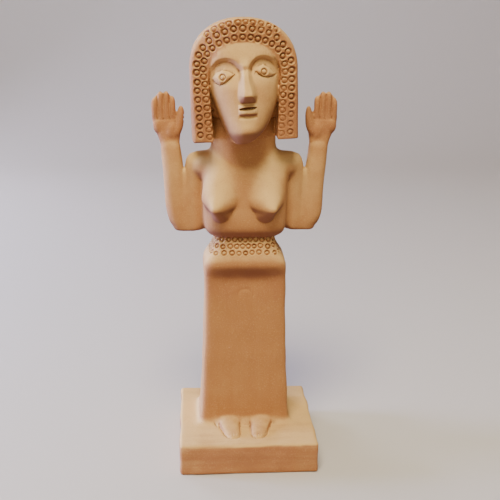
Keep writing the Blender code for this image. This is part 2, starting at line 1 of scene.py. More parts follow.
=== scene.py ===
"""Looks of the terracotta goddess figurine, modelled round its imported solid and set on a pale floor.

The clay is modelled as by hand. Discs and arches are extruded and resized into the skirt, trunk, limbs and
head, all are fused into one body of clay, and then the details are pressed, scored and scooped into it.
Forms are written in millimetres in the figure's own frames: x to the viewer's right, y to the back and z up,
from the middle of the plinth's top, or from the pivot of the head in the neck.
"""

import json
import math
import random

import bpy
import numpy as np
from bpy.props import FloatProperty, FloatVectorProperty, IntProperty, PointerProperty
from mathutils import Matrix, Vector
from mathutils.bvhtree import BVHTree

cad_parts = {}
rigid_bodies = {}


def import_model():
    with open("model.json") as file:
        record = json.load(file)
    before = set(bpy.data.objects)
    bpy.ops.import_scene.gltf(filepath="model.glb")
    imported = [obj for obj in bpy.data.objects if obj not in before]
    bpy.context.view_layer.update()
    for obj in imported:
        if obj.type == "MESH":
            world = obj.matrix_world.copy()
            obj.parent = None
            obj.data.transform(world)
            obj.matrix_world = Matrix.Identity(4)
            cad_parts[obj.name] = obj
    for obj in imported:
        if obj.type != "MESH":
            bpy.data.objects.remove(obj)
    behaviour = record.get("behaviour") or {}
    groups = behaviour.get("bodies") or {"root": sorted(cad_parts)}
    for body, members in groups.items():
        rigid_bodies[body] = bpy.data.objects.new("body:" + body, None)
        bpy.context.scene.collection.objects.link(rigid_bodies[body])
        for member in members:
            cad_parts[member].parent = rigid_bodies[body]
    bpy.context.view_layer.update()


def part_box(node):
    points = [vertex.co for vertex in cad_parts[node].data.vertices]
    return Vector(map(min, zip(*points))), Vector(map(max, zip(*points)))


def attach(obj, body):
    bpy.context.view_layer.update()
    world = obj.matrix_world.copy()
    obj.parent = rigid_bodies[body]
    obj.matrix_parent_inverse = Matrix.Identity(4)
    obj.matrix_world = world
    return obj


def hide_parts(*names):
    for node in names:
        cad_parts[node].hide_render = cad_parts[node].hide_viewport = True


bl_info = {
    "name": "Terracotta goddess figurine",
    "version": (1, 0, 0),
    "blender": (4, 5, 0),
    "location": "View3D > Sidebar > Figurine",
    "description": "Models a hand-made clay goddess on a square plinth, in fired clay on a plain stage",
    "category": "Add Mesh",
}

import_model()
NODE_LOW, NODE_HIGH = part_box("figurine")

MM = 0.001
PLINTH_HEIGHT = 20.5
PLINTH_WIDTH = (NODE_HIGH.y - NODE_LOW.y) / MM
PLINTH_EDGE = 1.7

# The figure's frame, the head's in the neck, and the face's, which leans a little further
LEAN = Matrix.Rotation(math.radians(-1.5), 4, "Y")
FIGURE = Matrix.Translation((-0.0013, 0.006, PLINTH_HEIGHT * MM)) @ Matrix.Diagonal((MM, MM, MM, 1))
HEAD = FIGURE @ Matrix.Translation((-0.7, 0, 184)) @ LEAN
FACE = HEAD @ LEAN
# Turns a form that is drawn upwards so that it points forward
FORWARD = Matrix.Rotation(math.radians(90), 4, "X")

# How far out each side's upper arm, forearm, wrist and hand are
UPPER_ARM_OUT = 31.4
FOREARM_OUT = 43.7
WRIST_OUT = 46.6
HAND_OUT = 50.4
SIDES = {"left": -1, "right": 1}

# The wig: half width, level of the arch's spring and of its top, at the hairline and at the outline
HAIRLINE = (21.4, 46.0, 63.4)
OUTLINE = (32.2, 46.0, 76.0)
# How full the arch is beside its crown, where 2 is a plain ellipse
HAUNCH = 2.25
# The level where the hair is cut, and how far back the wig and the face's opening in it go
HAIR_CUT = 4.4
HAIR_BACK = 18.0
NOTCH_BACK = -2.0
# From ring to ring on the wig's sides and top
RING_PITCH = 4.7


def length(name, description, default):
    return FloatProperty(name=name, description=description, default=default, unit="LENGTH")


def tint(name, description, default):
    return FloatVectorProperty(name=name, description=description, default=default, subtype="COLOR")


class ClaySizes(bpy.types.PropertyGroup):
    """Sizes of the stamps and of the mesh."""

    hair_ring: length("Hair ring", "Diameter of a ring pressed in the hair", 0.0031)
    belt_ring: length("Belt ring", "Diameter of a ring pressed in the belt", 0.0025)
    groove: length("Groove width", "Width of the groove a stamp leaves", 0.0010)
    press: length("Groove depth", "How deep a stamp is pressed", 0.0012)
    grain: length("Fineness", "Edge of one face of the fused clay", 0.00055)
    triangles: IntProperty(name="Triangles", description="Most triangles of the piece", default=192000)
    seed: IntProperty(name="Hand", description="Seed of the hand-made unevenness", default=7)


class ClayColours(bpy.types.PropertyGroup):
    """Colours of the fired clay."""

    # The material mixes the pale and the warm clay by dust and painted light: what faces up turns pale partly
    # as painted light from above, and what faces away turns warm partly as painted shade
    pale: tint("Pale clay", "The dry buff skin of the clay", (0.66, 0.415, 0.145))
    warm: tint("Warm clay", "Where the clay fired redder", (0.385, 0.168, 0.052))
    burnt: tint("Burnt clay", "Where the warm clay fired reddest", (0.29, 0.105, 0.038))
    # The reddest clay goes where the clay is barest: partly random mottle, partly painted shade on the
    # throat, under the belly and on the jaw's sides
    block: tint("Plinth", "The rosier clay of the plinth's upright faces", (0.40, 0.155, 0.07))
    # Painted shade on what faces down
    under: tint("Undersides", "Clay that faces down", (0.16, 0.048, 0.020))
    # Painted shade in grooves and creases, which also stands for grime in them
    deep: tint("Hollows", "Clay down in grooves and creases", (0.15, 0.05, 0.015))


def sizes():
    return bpy.context.scene.figurine_sizes


def colours():
    return bpy.context.scene.figurine_colours


# Modelling by extrusion


def mode(name):
    bpy.ops.object.mode_set(mode=name)


def pick(piece):
    """Selects one piece alone and makes it the active one."""
    bpy.ops.object.select_all(action="DESELECT")
    bpy.context.view_layer.objects.active = piece
    piece.select_set(True)


def modify(piece, kind, **settings):
    """Adds one modifier and applies it."""
    pick(piece)
    bpy.ops.object.modifier_add(type=kind)
    modifier = piece.modifiers[-1]
    for name, value in settings.items():
        setattr(modifier, name, value)
    bpy.ops.object.modifier_apply(modifier=modifier.name)


def open_form(name, scale, centre):
    """Names the new primitive, opens it in edit mode and resizes it about its middle."""
    form = bpy.context.object
    form.name = name
    mode("EDIT")
    bpy.ops.mesh.select_all(action="SELECT")
    bpy.ops.transform.resize(value=scale, center_override=centre)
    return form


def disc(name, sides, centre, half_width, half_depth):
    """Adds a filled disc at its size and place, and opens it in edit mode."""
    bpy.ops.object.select_all(action="DESELECT")
    bpy.ops.mesh.primitive_circle_add(vertices=sides, radius=1, fill_type="NGON", location=centre)
    return open_form(name, (half_width, half_depth, 1), centre)


def extrude_to(here, there):
    """Extrudes the selected end from one station to the next, and resizes it there."""
    step = Vector(there[:3]) - Vector(here[:3])
    bpy.ops.mesh.extrude_region_move(TRANSFORM_OT_translate={"value": step})
    scale = (there[3] / here[3], there[4] / here[4], 1)
    bpy.ops.transform.resize(value=scale, center_override=there[:3])


def settle(form, frame_of, rounds):
    """Closes the form's modelling: faces outwards, rounded by subdivision, and put in its frame."""
    bpy.ops.mesh.select_all(action="SELECT")
    bpy.ops.mesh.normals_make_consistent(inside=False)
    mode("OBJECT")
    bpy.ops.object.transform_apply(location=True, rotation=True, scale=True)
    if rounds:
        modify(form, "SUBSURF", levels=rounds, render_levels=rounds)
    form.data.transform(frame_of)
    return form


def square_up(form, stations, corners):
    """Pushes each round section out towards its corners. A corner of 2 leaves an ellipse."""
    levels = np.array([station[2] for station in stations])
    for vertex in form.data.vertices:
        x, y, level, wide, deep = stations[int(np.abs(levels - vertex.co.z).argmin())]
        corner = np.interp(level, *zip(*corners))
        u = (vertex.co.x - x) / wide
        v = (vertex.co.y - y) / deep
        vertex.co.x = x + wide * math.copysign(abs(u) ** (2 / corner), u)
        vertex.co.y = y + deep * math.copysign(abs(v) ** (2 / corner), v)


def loft(name, stations, frame_of=FIGURE, sides=32, corners=(), rounds=2):
    """A disc extruded through stations (x, y, level, half width, half depth) to a closed form.
    Corners are pairs (level, how square the section is)."""
    form = disc(name, sides, stations[0][:3], *stations[0][3:])
    for here, there in zip(stations, stations[1:]):
        extrude_to(here, there)
    mode("OBJECT")
    bpy.ops.object.transform_apply(location=True, rotation=True, scale=True)
    if corners:
        square_up(form, stations, corners)
    mode("EDIT")
    return settle(form, frame_of, rounds)


def ball(name, centre, radii, frame_of=FIGURE):
    """An oval pat of clay."""
    bpy.ops.object.select_all(action="DESELECT")
    bpy.ops.mesh.primitive_uv_sphere_add(segments=32, ring_count=16, radius=1, location=centre)
    return settle(open_form(name, radii, centre), frame_of, 0)


def arch(name, outline, stations, bottom_share=1.0, sides=96):
    """An arched form in the head's frame, drawn towards the front. A station is (reach forward, half width,
    top). The disc's lower half is flattened and drawn down to the cut, which makes the upright jambs."""
    half, spring, top = outline
    rise = top - spring
    middle = (0, spring, stations[0][0])
    form = disc(name, sides, middle, half, rise)
    bpy.ops.mesh.select_all(action="DESELECT")
    mode("OBJECT")
    for vertex in form.data.vertices:
        across, up = vertex.co.x / half, vertex.co.y / rise
        vertex.select = up < -1e-4
        if up >= -1e-4:
            vertex.co.x = half * math.copysign(abs(across) ** (2 / HAUNCH), across)
            vertex.co.y = rise * max(up, 0.0) ** (2 / HAUNCH)
    mode("EDIT")
    bpy.ops.transform.resize(value=(bottom_share, 0, 1), center_override=middle)
    bpy.ops.transform.translate(value=(0, HAIR_CUT - spring, 0))
    bpy.ops.mesh.select_all(action="SELECT")
    sections = [(0, HAIR_CUT, reach, wide, high - HAIR_CUT) for reach, wide, high in stations]
    foot, wide, high = sections[0][:3], sections[0][3], sections[0][4]
    bpy.ops.transform.resize(value=(wide / half, high / (top - HAIR_CUT), 1), center_override=foot)
    for here, there in zip(sections, sections[1:]):
        extrude_to(here, there)
    return settle(form, Matrix(), 0)


def subtract(form, cutter):
    """Cuts one closed form out of another and throws the cutter away."""
    modify(form, "BOOLEAN", operation="DIFFERENCE", object=cutter, solver="MANIFOLD")
    bpy.data.objects.remove(cutter)


def mirrored(side, base, rows):
    """Rows that begin with a distance out from base, set out on one side of the figure."""
    return [(side * (base + out), *rest) for out, *rest in rows]


# Pressing and scooping the fused clay


def smooth_step(low, high, value):
    share = np.clip((value - low) / (high - low), 0, 1)
    return share * share * (3 - 2 * share)


def band(value, low, full, fading, gone):
    """Rises from 0 at low to 1 at full, and falls from fading to 0 at gone."""
    return smooth_step(low, full, value) * (1 - smooth_step(fading, gone, value))


def hill(value, middle, width):
    return np.exp(-(((value - middle) / width) ** 2))


class Clay:
    """The fused clay's points in numpy, with the tools that press, score and scoop it."""

    def __init__(self, piece):
        self.piece = piece
        self.points = self.read("co")
        self.normals = self.read("normal")
        self.skin = None

    def read(self, name):
        values = np.empty(len(self.piece.data.vertices) * 3)
        self.piece.data.vertices.foreach_get(name, values)
        return values.reshape(-1, 3)

    def seen_from(self, frame_of):
        """The points in one of the figure's frames, in its millimetres."""
        back = np.array(frame_of.inverted())
        return self.points @ back[:3, :3].T + back[:3, 3]

    def surface(self):
        """The skin as it is now, for finding where a tool meets it."""
        polygons = [polygon.vertices[:] for polygon in self.piece.data.polygons]
        self.skin = BVHTree.FromPolygons([tuple(p) for p in self.points], polygons)

    def meet(self, start, way):
        """Where a tool that comes from start along way meets the skin, in metres."""
        place, _, _, _ = self.skin.ray_cast(Vector(start), Vector(way).normalized())
        return place

    def near(self, place, reach):
        return np.nonzero(np.abs(self.points - np.array(place)).max(axis=1) < reach)[0]

    def ring(self, place, diameter, width, depth, lip_share=0.12):
        """Presses the end of a tube in: a round groove with a low dome inside and a raised lip."""
        found = self.near(place, diameter / 2 + 2 * width)
        if len(found) == 0:
            return
        normal = self.normals[found].sum(axis=0)
        normal /= np.linalg.norm(normal)
        away = self.points[found] - np.array(place)
        height = away @ normal
        radius = np.linalg.norm(away - height[:, None] * normal, axis=1)
        groove = hill(radius, diameter / 2, width / 2)
        lip = hill(radius, diameter / 2 + width, width / 2.5)
        push = (lip * lip_share - groove) * depth * (np.abs(height) < diameter)
        self.points[found] += push[:, None] * normal

    def score(self, line, width, depth, frame_of, way=(0, 1, 0)):
        """Scores a line of points with a tool held along way."""
        back = self.seen_from(frame_of)
        way = np.array(way, float)
        slack = 3 * width + 6 * np.abs(way)
        low = np.min(line, axis=0) - slack
        high = np.max(line, axis=0) + slack
        found = np.nonzero(((back > low) & (back < high)).all(axis=1))[0]
        if len(found) == 0:
            return
        here = back[found]
        nearest = np.full(len(found), 1e9)
        for start, end in zip(line, line[1:]):
            start = np.array(start, float)
            along = np.array(end, float) - start
            share = np.clip((here - start) @ along / (along @ along), 0, 1)
            gap = here - start - share[:, None] * along
            gap -= (gap @ way)[:, None] * way
            nearest = np.minimum(nearest, np.linalg.norm(gap, axis=1))
        push = depth * hill(nearest, 0, width / 2)
        turn = np.array(frame_of)[:3, :3]
        self.points[found] += push[:, None] * (turn @ way)

    def write(self):
        self.piece.data.vertices.foreach_set("co", self.points.ravel())
        self.piece.data.update()


def keep_forms(forms):
    """Marks the forms as clay that waits to be fused."""
    for form in forms:
        form["raw_clay"] = True


# The forms


def plinth_forms():
    """A square block with rounded edges under the figure."""
    half = PLINTH_WIDTH / 2
    x, y, _ = FIGURE.inverted() @ Vector((0, 0, 0))
    foot = (x, y, -PLINTH_HEIGHT)
    bpy.ops.object.select_all(action="DESELECT")
    bpy.ops.mesh.primitive_plane_add(size=2, location=foot)
    form = open_form("plinth", (half, half, 1), foot)
    bpy.ops.mesh.extrude_region_move(TRANSFORM_OT_translate={"value": (0, 0, PLINTH_HEIGHT)})
    bpy.ops.mesh.select_all(action="SELECT")
    bpy.ops.mesh.normals_make_consistent(inside=False)
    bpy.ops.mesh.bevel(offset=PLINTH_EDGE, segments=4, profile=0.5)
    return [settle(form, FIGURE, 0)]


def skirt_forms():
    """The bell skirt and the waist, from a foot sunk in the plinth up to the chest's floor."""
    stations = [
        (0, -0.2, -5, 34.6, 24.6), (0, -0.2, -1.6, 32.6, 23.0), (0, 0.0, 0.2, 30.6, 20.9),
        (0, 0.1, 2.4, 29.6, 19.9), (0, 0.1, 6, 29.0, 19.5), (0, 0.2, 18, 28.3, 19.0),
        (0, 0.4, 45, 27.2, 18.3), (0, 0.5, 78, 26.2, 17.7), (0, 0.7, 94, 26.1, 17.5),
        (0, 0.5, 101, 26.3, 17.9), (0, -0.4, 106, 26.5, 19.2), (0, -0.8, 109.6, 26.2, 19.7),
        (0, -0.6, 112.6, 24.6, 18.9), (0, -0.4, 115.2, 22.6, 17.6), (0, 0.0, 118.4, 20.7, 15.9),
        (0, 0.3, 121.6, 19.8, 14.4), (0, 0.5, 125.2, 19.4, 13.2), (0, 0.5, 131, 19.4, 12.9),
        (0, 0.5, 136, 19.4, 12.9),
    ]
    squareness = ((0, 15), (45, 13), (94, 11), (109, 8), (118, 6), (128, 4.5))
    return [loft("skirt", stations, sides=64, corners=squareness)]


def torso_forms():
    """The trunk, the neck, and the jowls that fill the hollow between the jaw and the hair."""
    stations = [
        (0, 0.4, 124.6, 18.6, 11.0), (0, 0.0, 126.2, 22.0, 13.8), (0, -0.6, 128.2, 24.6, 16.2),
        (0, -0.9, 131, 26.2, 17.6), (0, -0.9, 137, 26.6, 18.0), (0, -0.7, 146, 26.6, 17.9),
        (0, -0.6, 154, 26.5, 17.6), (0, -0.4, 160, 26.6, 17.2), (0, 0.1, 165, 26.7, 16.5),
        (0, 0.9, 170, 27.1, 15.2), (0, 1.6, 174, 27.0, 13.6), (0, 2.0, 177, 25.6, 11.4),
        (0, 2.1, 179.2, 21.4, 8.6), (0, 2.1, 180.0, 18.0, 7.0),
    ]
    squareness = ((124, 4.8), (140, 4.2), (168, 4.2), (179, 3.5))
    neck = [
        (-0.7, 2.0, 162, 6.0, 15.0), (-0.7, 1.8, 166, 11.0, 15.6), (-0.7, 1.6, 171, 16.5, 15.4),
        (-0.7, 1.6, 176, 20.5, 14.6), (-0.7, 1.6, 179.4, 21.2, 13.6), (-0.7, 1.2, 183, 20.2, 13.2),
        (-0.7, 0.6, 188, 20.2, 13.4), (-0.7, 0.4, 204, 20.6, 13.4), (-1.2, 0.4, 219, 21.4, 13.4),
    ]
    jowls = [
        (-0.9, 0.4, 199.6, 20.0, 12.8), (-0.9, 0.1, 204, 21.8, 14.0), (-1.0, -0.5, 210, 22.8, 16.2),
        (-1.1, -1.4, 217, 23.8, 18.6), (-1.2, -2.2, 224, 24.6, 20.2), (-1.2, -2.4, 234, 25.0, 20.4),
        (-1.2, -2.4, 240, 20.0, 16.0),
    ]
    return [
        loft("torso", stations, sides=64, corners=squareness),
        loft("neck", neck, sides=48, corners=((0, 2.4),)),
        loft("jowls", jowls, sides=48, corners=((0, 6),)),
    ]


def breast_forms():
    """Wedges that point forward and outward, with a long upper slope and a flat underside."""
    # How far inward of the tip and how far forward, half width and half height
    sections = (
        (6.4, 8.0, 14.4, 33.0), (5.6, 13.0, 14.0, 26.0), (4.7, 17.2, 12.6, 19.4), (3.8, 20.4, 10.0, 13.8),
        (2.7, 23.4, 7.3, 9.2), (1.5, 26.2, 4.6, 5.2), (0.5, 28.2, 2.7, 2.7), (0.2, 29.1, 1.6, 1.4),
    )
    furthest = sections[-1][1]
    forms = []
    for name, side, tip, level in (("left_breast", -1, -20.2, 146.2), ("right_breast", 1, 16.4, 146.0)):
        stations = [(tip - side * inward, level, *rest) for inward, *rest in sections]
        form = loft(name, stations, Matrix(), sides=32)
        # The section narrows downwards, and the lower part is pressed up to a small underside
        for vertex in form.data.vertices:
            below = level - vertex.co.y
            middle = tip - side * 0.50 * max(furthest - vertex.co.z, 0.0)
            vertex.co.x = middle + (vertex.co.x - middle) * (1 - 0.40 * smooth_step(-5, 6, below))
            if below > 0:
                vertex.co.y = level - below * 0.56
        form.data.transform(FIGURE @ FORWARD)
        forms.append(form)
    return forms


# Stations of the limbs: (out from the limb's middle line, y, level, half width, half depth)
UPPER_ARM = (
    (0.4, 0.5, 127.6, 4.6, 4.6), (0.2, 0.5, 128.6, 6.4, 5.6), (0, 0.5, 133, 6.9, 6.2),
    (0, 0.5, 145, 6.5, 6.2), (0, 0.5, 160, 6.3, 6.1), (-0.3, 0.5, 170, 6.4, 6.3),
    (-1.2, 0.6, 175.0, 6.2, 6.0), (-3.0, 0.8, 178.0, 5.0, 4.6), (-4.4, 0.9, 179.0, 2.6, 2.6),
)
FOREARM = (
    (-6.2, 0.5, 127.6, 3.0, 3.2), (-4.6, 0.5, 129.0, 5.4, 4.8), (-2.8, 0.5, 132.0, 6.6, 5.8),
    (-1.3, 0.5, 137, 7.0, 6.1), (-0.4, 0.5, 143, 6.9, 6.1), (0.3, 0.5, 152, 6.6, 6.0),
    (1.0, 0.5, 164, 6.5, 5.9), (2.0, 0.5, 173, 6.3, 5.6), (2.7, 0.5, 181, 6.1, 5.2),
    (2.9, 0.5, 186, 6.0, 4.6),
)
ELBOW = (
    (-1.2, 0.5, 127.3, 6.2, 4.2), (-0.6, 0.5, 128.4, 8.6, 5.2), (0, 0.5, 134, 9.0, 5.7),
    (0, 0.5, 145, 8.4, 5.4), (0, 0.5, 158, 7.0, 4.6), (0, 0.5, 165, 5.0, 3.9), (0, 0.5, 168.2, 3.4, 2.8),
)
WRIST = ((0, 0.5, 178, 5.6, 4.6), (0, 0.4, 182, 5.7, 4.0), (0.5, 0.4, 187, 6.7, 3.6))
PALM = (
    (-2.4, 0.4, 192, 8.2, 3.4), (-1.0, 0.4, 197, 8.6, 3.1), (-0.1, 0.4, 201.6, 7.8, 2.6),
    (0, 0.4, 205.4, 7.4, 2.0), (0, 0.5, 210.4, 6.6, 1.6), (0, 0.5, 213.0, 4.8, 1.4),
    (0, 0.5, 214.6, 2.4, 1.1),
)
THUMB = (
    (-1.8, -0.6, 186, 2.6, 2.4), (-4.2, -0.9, 191, 3.4, 3.0), (-5.9, -0.9, 196, 3.0, 2.7),
    (-6.7, -0.7, 201, 2.5, 2.3), (-6.9, -0.6, 204.6, 2.1, 1.9), (-6.8, -0.5, 206.6, 1.3, 1.2),
    (-6.7, -0.5, 207.2, 0.7, 0.6),
)
# Each finger's tip, and how far it is out from the middle of the hand
FINGERS = ((213.0, -5.4), (215.9, -1.8), (215.6, 1.8), (211.8, 5.4))


def arm_forms(name, side):
    """The upper arm and the forearm side by side, with the elbow's block between them."""
    elbow_out = (UPPER_ARM_OUT + FOREARM_OUT) / 2
    return [
        ball(f"{name}_shoulder", (24.6 * side, 1.2, 171.6), (11.0, 8.4, 7.4)),
        ball(f"{name}_shoulder_front", (25.0 * side, -1.6, 170.4), (9.4, 8.4, 8.2)),
        loft(f"{name}_upper_arm", mirrored(side, UPPER_ARM_OUT, UPPER_ARM), corners=((0, 2.5),)),
        loft(f"{name}_forearm", mirrored(side, FOREARM_OUT, FOREARM), corners=((0, 2.5),)),
        loft(f"{name}_elbow", mirrored(side, elbow_out, ELBOW), corners=((0, 4),)),
    ]


def hand_forms(name, side):
    """The palm with the balls of the thumb and the little finger, four fingers together, and the thumb."""
    palm = mirrored(side, WRIST_OUT, WRIST) + mirrored(side, HAND_OUT, PALM)
    forms = [
        loft(f"{name}_palm", palm, corners=((0, 2.4),)),
        ball(f"{name}_thumb_ball", (side * (WRIST_OUT - 1.4), -0.9, 191.4), (5.2, 3.2, 6.6)),
        ball(f"{name}_palm_edge", (side * (HAND_OUT + 3.2), -0.6, 195.0), (3.8, 2.6, 5.6)),
    ]
    for finger, (tip, out) in enumerate(FINGERS):
        rows = [
            (-0.1, 0.4, 196, 1.9, 2.0), (0, 0.2, 200, 2.15, 2.35), (0.1, 0.1, 206, 2.15, 2.5),
            (0.1, 0.1, tip - 4.0, 2.1, 2.2), (0.05, 0.2, tip - 1.8, 1.8, 1.8),
            (0, 0.3, tip - 0.6, 1.1, 1.2), (0, 0.3, tip, 0.4, 0.5),
        ]
        stations = mirrored(side, HAND_OUT + out, rows)
        forms.append(loft(f"{name}_finger_{finger + 1}", stations, sides=16, corners=((0, 2.3),)))
    forms.append(loft(f"{name}_thumb", mirrored(side, WRIST_OUT, THUMB), sides=16))
    return forms


def foot_forms(name, side):
    """A low foot that comes out of the hem and sinks into the plinth at its toes."""
    sunk = 1.2
    # How far forward and out, half width and the height of the instep
    sections = (
        (12.0, 11.4, 7.0, 7.0), (18.6, 11.2, 7.0, 6.0), (22.0, 10.6, 6.7, 4.0), (27.0, 9.8, 6.1, 2.9),
        (32.0, 9.0, 5.4, 2.2), (36.6, 8.3, 4.8, 1.7), (39.2, 8.0, 3.8, 1.3), (40.2, 7.9, 2.8, 0.9),
    )
    stations = [(-0.2 + side * out, -sunk, reach, half, crest + sunk) for reach, out, half, crest in sections]
    foot = loft(f"{name}_foot", stations, FIGURE @ FORWARD, sides=32, corners=((0, 3.2),))
    if side > 0:
        return [foot]
    return [foot, ball("hem_arch", (0.3, -19.6, 0.2), (3.3, 4.2, 3.4))]


def hair_forms():
    """A wig cut straight at the shoulders, with a rounded front band and an arched opening for the face."""
    half, _, top = OUTLINE
    inner_half, _, inner_top = HAIRLINE
    # How far forward each section is, and its share of the way from the hairline to the outline
    sections = (
        (-HAIR_BACK, 0.05), (-HAIR_BACK + 0.5, 0.35), (-HAIR_BACK + 2.2, 0.64), (-HAIR_BACK + 5.2, 0.84),
        (-HAIR_BACK + 9.6, 0.95), (-HAIR_BACK + 15, 0.99), (0, 1.0), (8, 1.0), (14.0, 1.0), (18.0, 0.996),
        (20.8, 0.98), (22.6, 0.945), (23.5, 0.88), (24.0, 0.77), (24.2, 0.58), (24.2, 0.34), (23.9, 0.08),
    )
    wider, higher = half - inner_half, top - inner_top
    stations = [(reach, inner_half + share * wider, inner_top + share * higher) for reach, share in sections]
    hair = arch("hair", OUTLINE, stations)
    notch_stations = [(-NOTCH_BACK, inner_half, inner_top), (40, inner_half, inner_top)]
    notch = arch("notch", HAIRLINE, notch_stations, bottom_share=0.89)
    notch.data.transform(Matrix.Translation((0, -3, 0)))
    subtract(hair, notch)
    # The band comes forward over the brow, the mass leans a little, and the top falls away behind
    for vertex in hair.data.vertices:
        x, z, reach = vertex.co
        rise = min(1.0, max(0.0, (z - 30) / 22))
        if reach > -NOTCH_BACK:
            vertex.co.z += 5.0 * max(0.0, 1 - (x / 24) ** 2) * rise
        vertex.co.y += 0.025 * x * (1 - rise)
        vertex.co.y -= 7 * (max(0.0, -reach) / HAIR_BACK) ** 2 * rise
    hair.data.transform(HEAD @ FORWARD)
    return [hair]


# The mask's levels, with its middle and its half width there
FACE_WIDTHS = (
    (2.6, -1.8, 4.0), (3.4, -1.6, 6.2), (5.4, -0.9, 8.6), (9.0, 0.2, 11.3), (12.5, 0.8, 13.4),
    (17.0, 1.2, 15.5), (22.0, 1.4, 17.4), (28.0, 1.5, 19.4), (34.0, 1.1, 20.9), (40.0, 0.7, 21.5),
    (46.0, 0.4, 21.8), (54.0, 0.3, 21.4), (62.0, 0.2, 20.2), (68.0, 0.0, 18.8),
)


# The nose's levels, with how far it stands out and the half widths of its ridge and its root
NOSE = (
    (28.1, 0.0, 2.6, 5.2), (28.8, 1.3, 2.5, 5.6), (30.6, 4.6, 2.3, 6.0), (32.1, 7.0, 2.1, 6.2),
    (32.9, 7.4, 2.0, 6.2), (34.2, 7.0, 1.8, 6.0), (38.0, 5.6, 1.3, 5.4), (42.0, 4.4, 0.9, 4.6),
    (46.0, 3.0, 0.6, 3.9), (48.5, 1.8, 0.5, 3.6), (51.0, 0.7, 0.5, 3.6), (54.0, 0.0, 0.5, 3.6),
)


# Each eye's upper and lower lid, as places (across, up) on the mask
EYES = (
    (
        ((-18.2, 42.4), (-15.6, 45.8), (-11.4, 47.3), (-8.0, 46.4), (-5.0, 44.5)),
        ((-18.2, 42.4), (-15.7, 39.9), (-13.7, 38.7), (-10.8, 40.2), (-7.8, 42.3), (-5.0, 44.5)),
    ),
    (
        ((7.0, 46.4), (9.4, 48.7), (12.0, 49.5), (15.6, 47.4), (19.6, 43.2)),
        ((7.0, 46.4), (9.2, 44.3), (11.7, 42.8), (14.8, 42.3), (17.6, 42.5), (19.6, 43.2)),
    ),
)


# Each eye socket's middle across and up, with its half width and its height above the middle
SOCKETS = ((-9.9, 43.8, 10.3, 11.0), (11.7, 44.8, 9.3, 10.5))
PUPILS = ((-12.2, 43.5), (12.7, 45.5))
# Where the middle of the mouth is, across
MOUTH = 1.85


def face_front(level):
    """How far forward the face's middle line is, without the nose: the chin and the forehead turn back."""
    reach = 34.0 - 0.07 * (level - 14) - 0.010 * max(level - 48, 0) ** 2
    return reach - 9.5 * max(0.0, (10.2 - level) / 7.7) ** 1.5


def face_forms():
    """A tapering mask that turns back at the chin and the forehead."""
    middle = -14.5
    stations = []
    for level, centre, half in FACE_WIDTHS:
        stations.append((centre, middle, level, half, middle + face_front(level)))
    return [loft("mask", stations, FACE, sides=64, corners=((40, 2.3), (60, 3.0)), rounds=1)]


def nose_height(x, z):
    """The nose over the mask: a straight ridge that widens down to a tip with a slanting underside."""
    levels, *columns = zip(*NOSE)
    out, ridge, root = (np.interp(z, levels, column) for column in columns)
    middle = 2.1 - 0.9 * np.clip((z - 32) / 18, 0, 1)
    return out * (1 - smooth_step(0, 1, (np.abs(x - middle) - ridge) / (root - ridge)))


# Pressed, scored and scooped details


def scoop_face(clay):
    """The nose, eye sockets under arched brows, bulging almond eyes, a parted mouth and the chin."""
    x, y, z = clay.seen_from(FACE).T
    front = smooth_step(-13.0, -17.0, y) * (z > 2) * (z < 64) * (np.abs(x) < 22.5)
    turn = np.array(FACE)[:3, :3] / MM
    front = front * smooth_step(0.05, 0.3, -(clay.normals @ turn)[:, 1])
    found = np.nonzero(front > 0)[0]
    x, z, front = x[found], z[found], front[found]
    push = -nose_height(x, z)
    # Sockets: deepest under the arch of the brow, running out over the cheek
    for cx, cz, wide, high in SOCKETS:
        v = (z - cz) / high
        u = (x - cx) / wide
        if cx > 0:
            u = np.where(u > 0, u * 0.9, u)
        rim = 1 - smooth_step(0.70, 1.0, np.sqrt(u**2 + np.maximum(v, 0) ** 2))
        push += 3.3 * rim * smooth_step(-0.8, 0.7, v) * (1 - smooth_step(20.6, 22.4, np.abs(x)))
    # A dip across the root of the nose under the edge of the forehead
    push += 1.6 * hill(x, 0.9, 3.4) * hill(z, 46.9, 1.7)
    # Eyeballs bulge between the lids
    for upper, lower in EYES:
        top = np.interp(x, *zip(*upper))
        bottom = np.interp(x, *zip(*lower))
        opening = np.maximum(top - bottom, 1e-3)
        rise = np.clip((z - bottom) / opening, 0, 1)
        push -= 2.5 * np.minimum(opening / 7, 1) ** 0.6 * (4 * rise * (1 - rise)) ** 0.55
    # Lips: a low mound with a parted slit, and a hollow cut back under it
    across = np.maximum(1 - ((x - MOUTH) / 5.6) ** 2, 0)
    push -= 1.7 * across**0.5 * band(z, 20.9, 22.1, 25.8, 27.6)
    push += 1.2 * across**0.7 * hill(z, 20.0, 1.0)
    slit = np.maximum(1 - ((x - MOUTH) / 5.1) ** 2, 0)
    bend = z - 24.8 - 0.06 * (x - MOUTH)
    push += 3.6 * slit**0.4 * np.exp(-((bend / (0.25 + 0.62 * slit)) ** 4))
    # The chin
    push -= 0.9 * hill(x, 0.4, 6) * hill(z, 12, 4.0)
    clay.points[found] += (push * front)[:, None] * (turn * MM)[:, 1]


def score_face(clay):
    """The edges of the lower lids, and a ring for each pupil."""
    for _, lower in EYES:
        clay.score([(x, -26, z - 0.2) for x, z in lower[1:]], 0.9, 0.65, FACE)
    for x, z in PUPILS:
        place = clay.meet(FACE @ Vector((x, -60, z)), FACE.to_3x3() @ Vector((0, 1, 0)))
        clay.ring(place, 3.2 * MM, 1.0 * MM, 1.1 * MM)


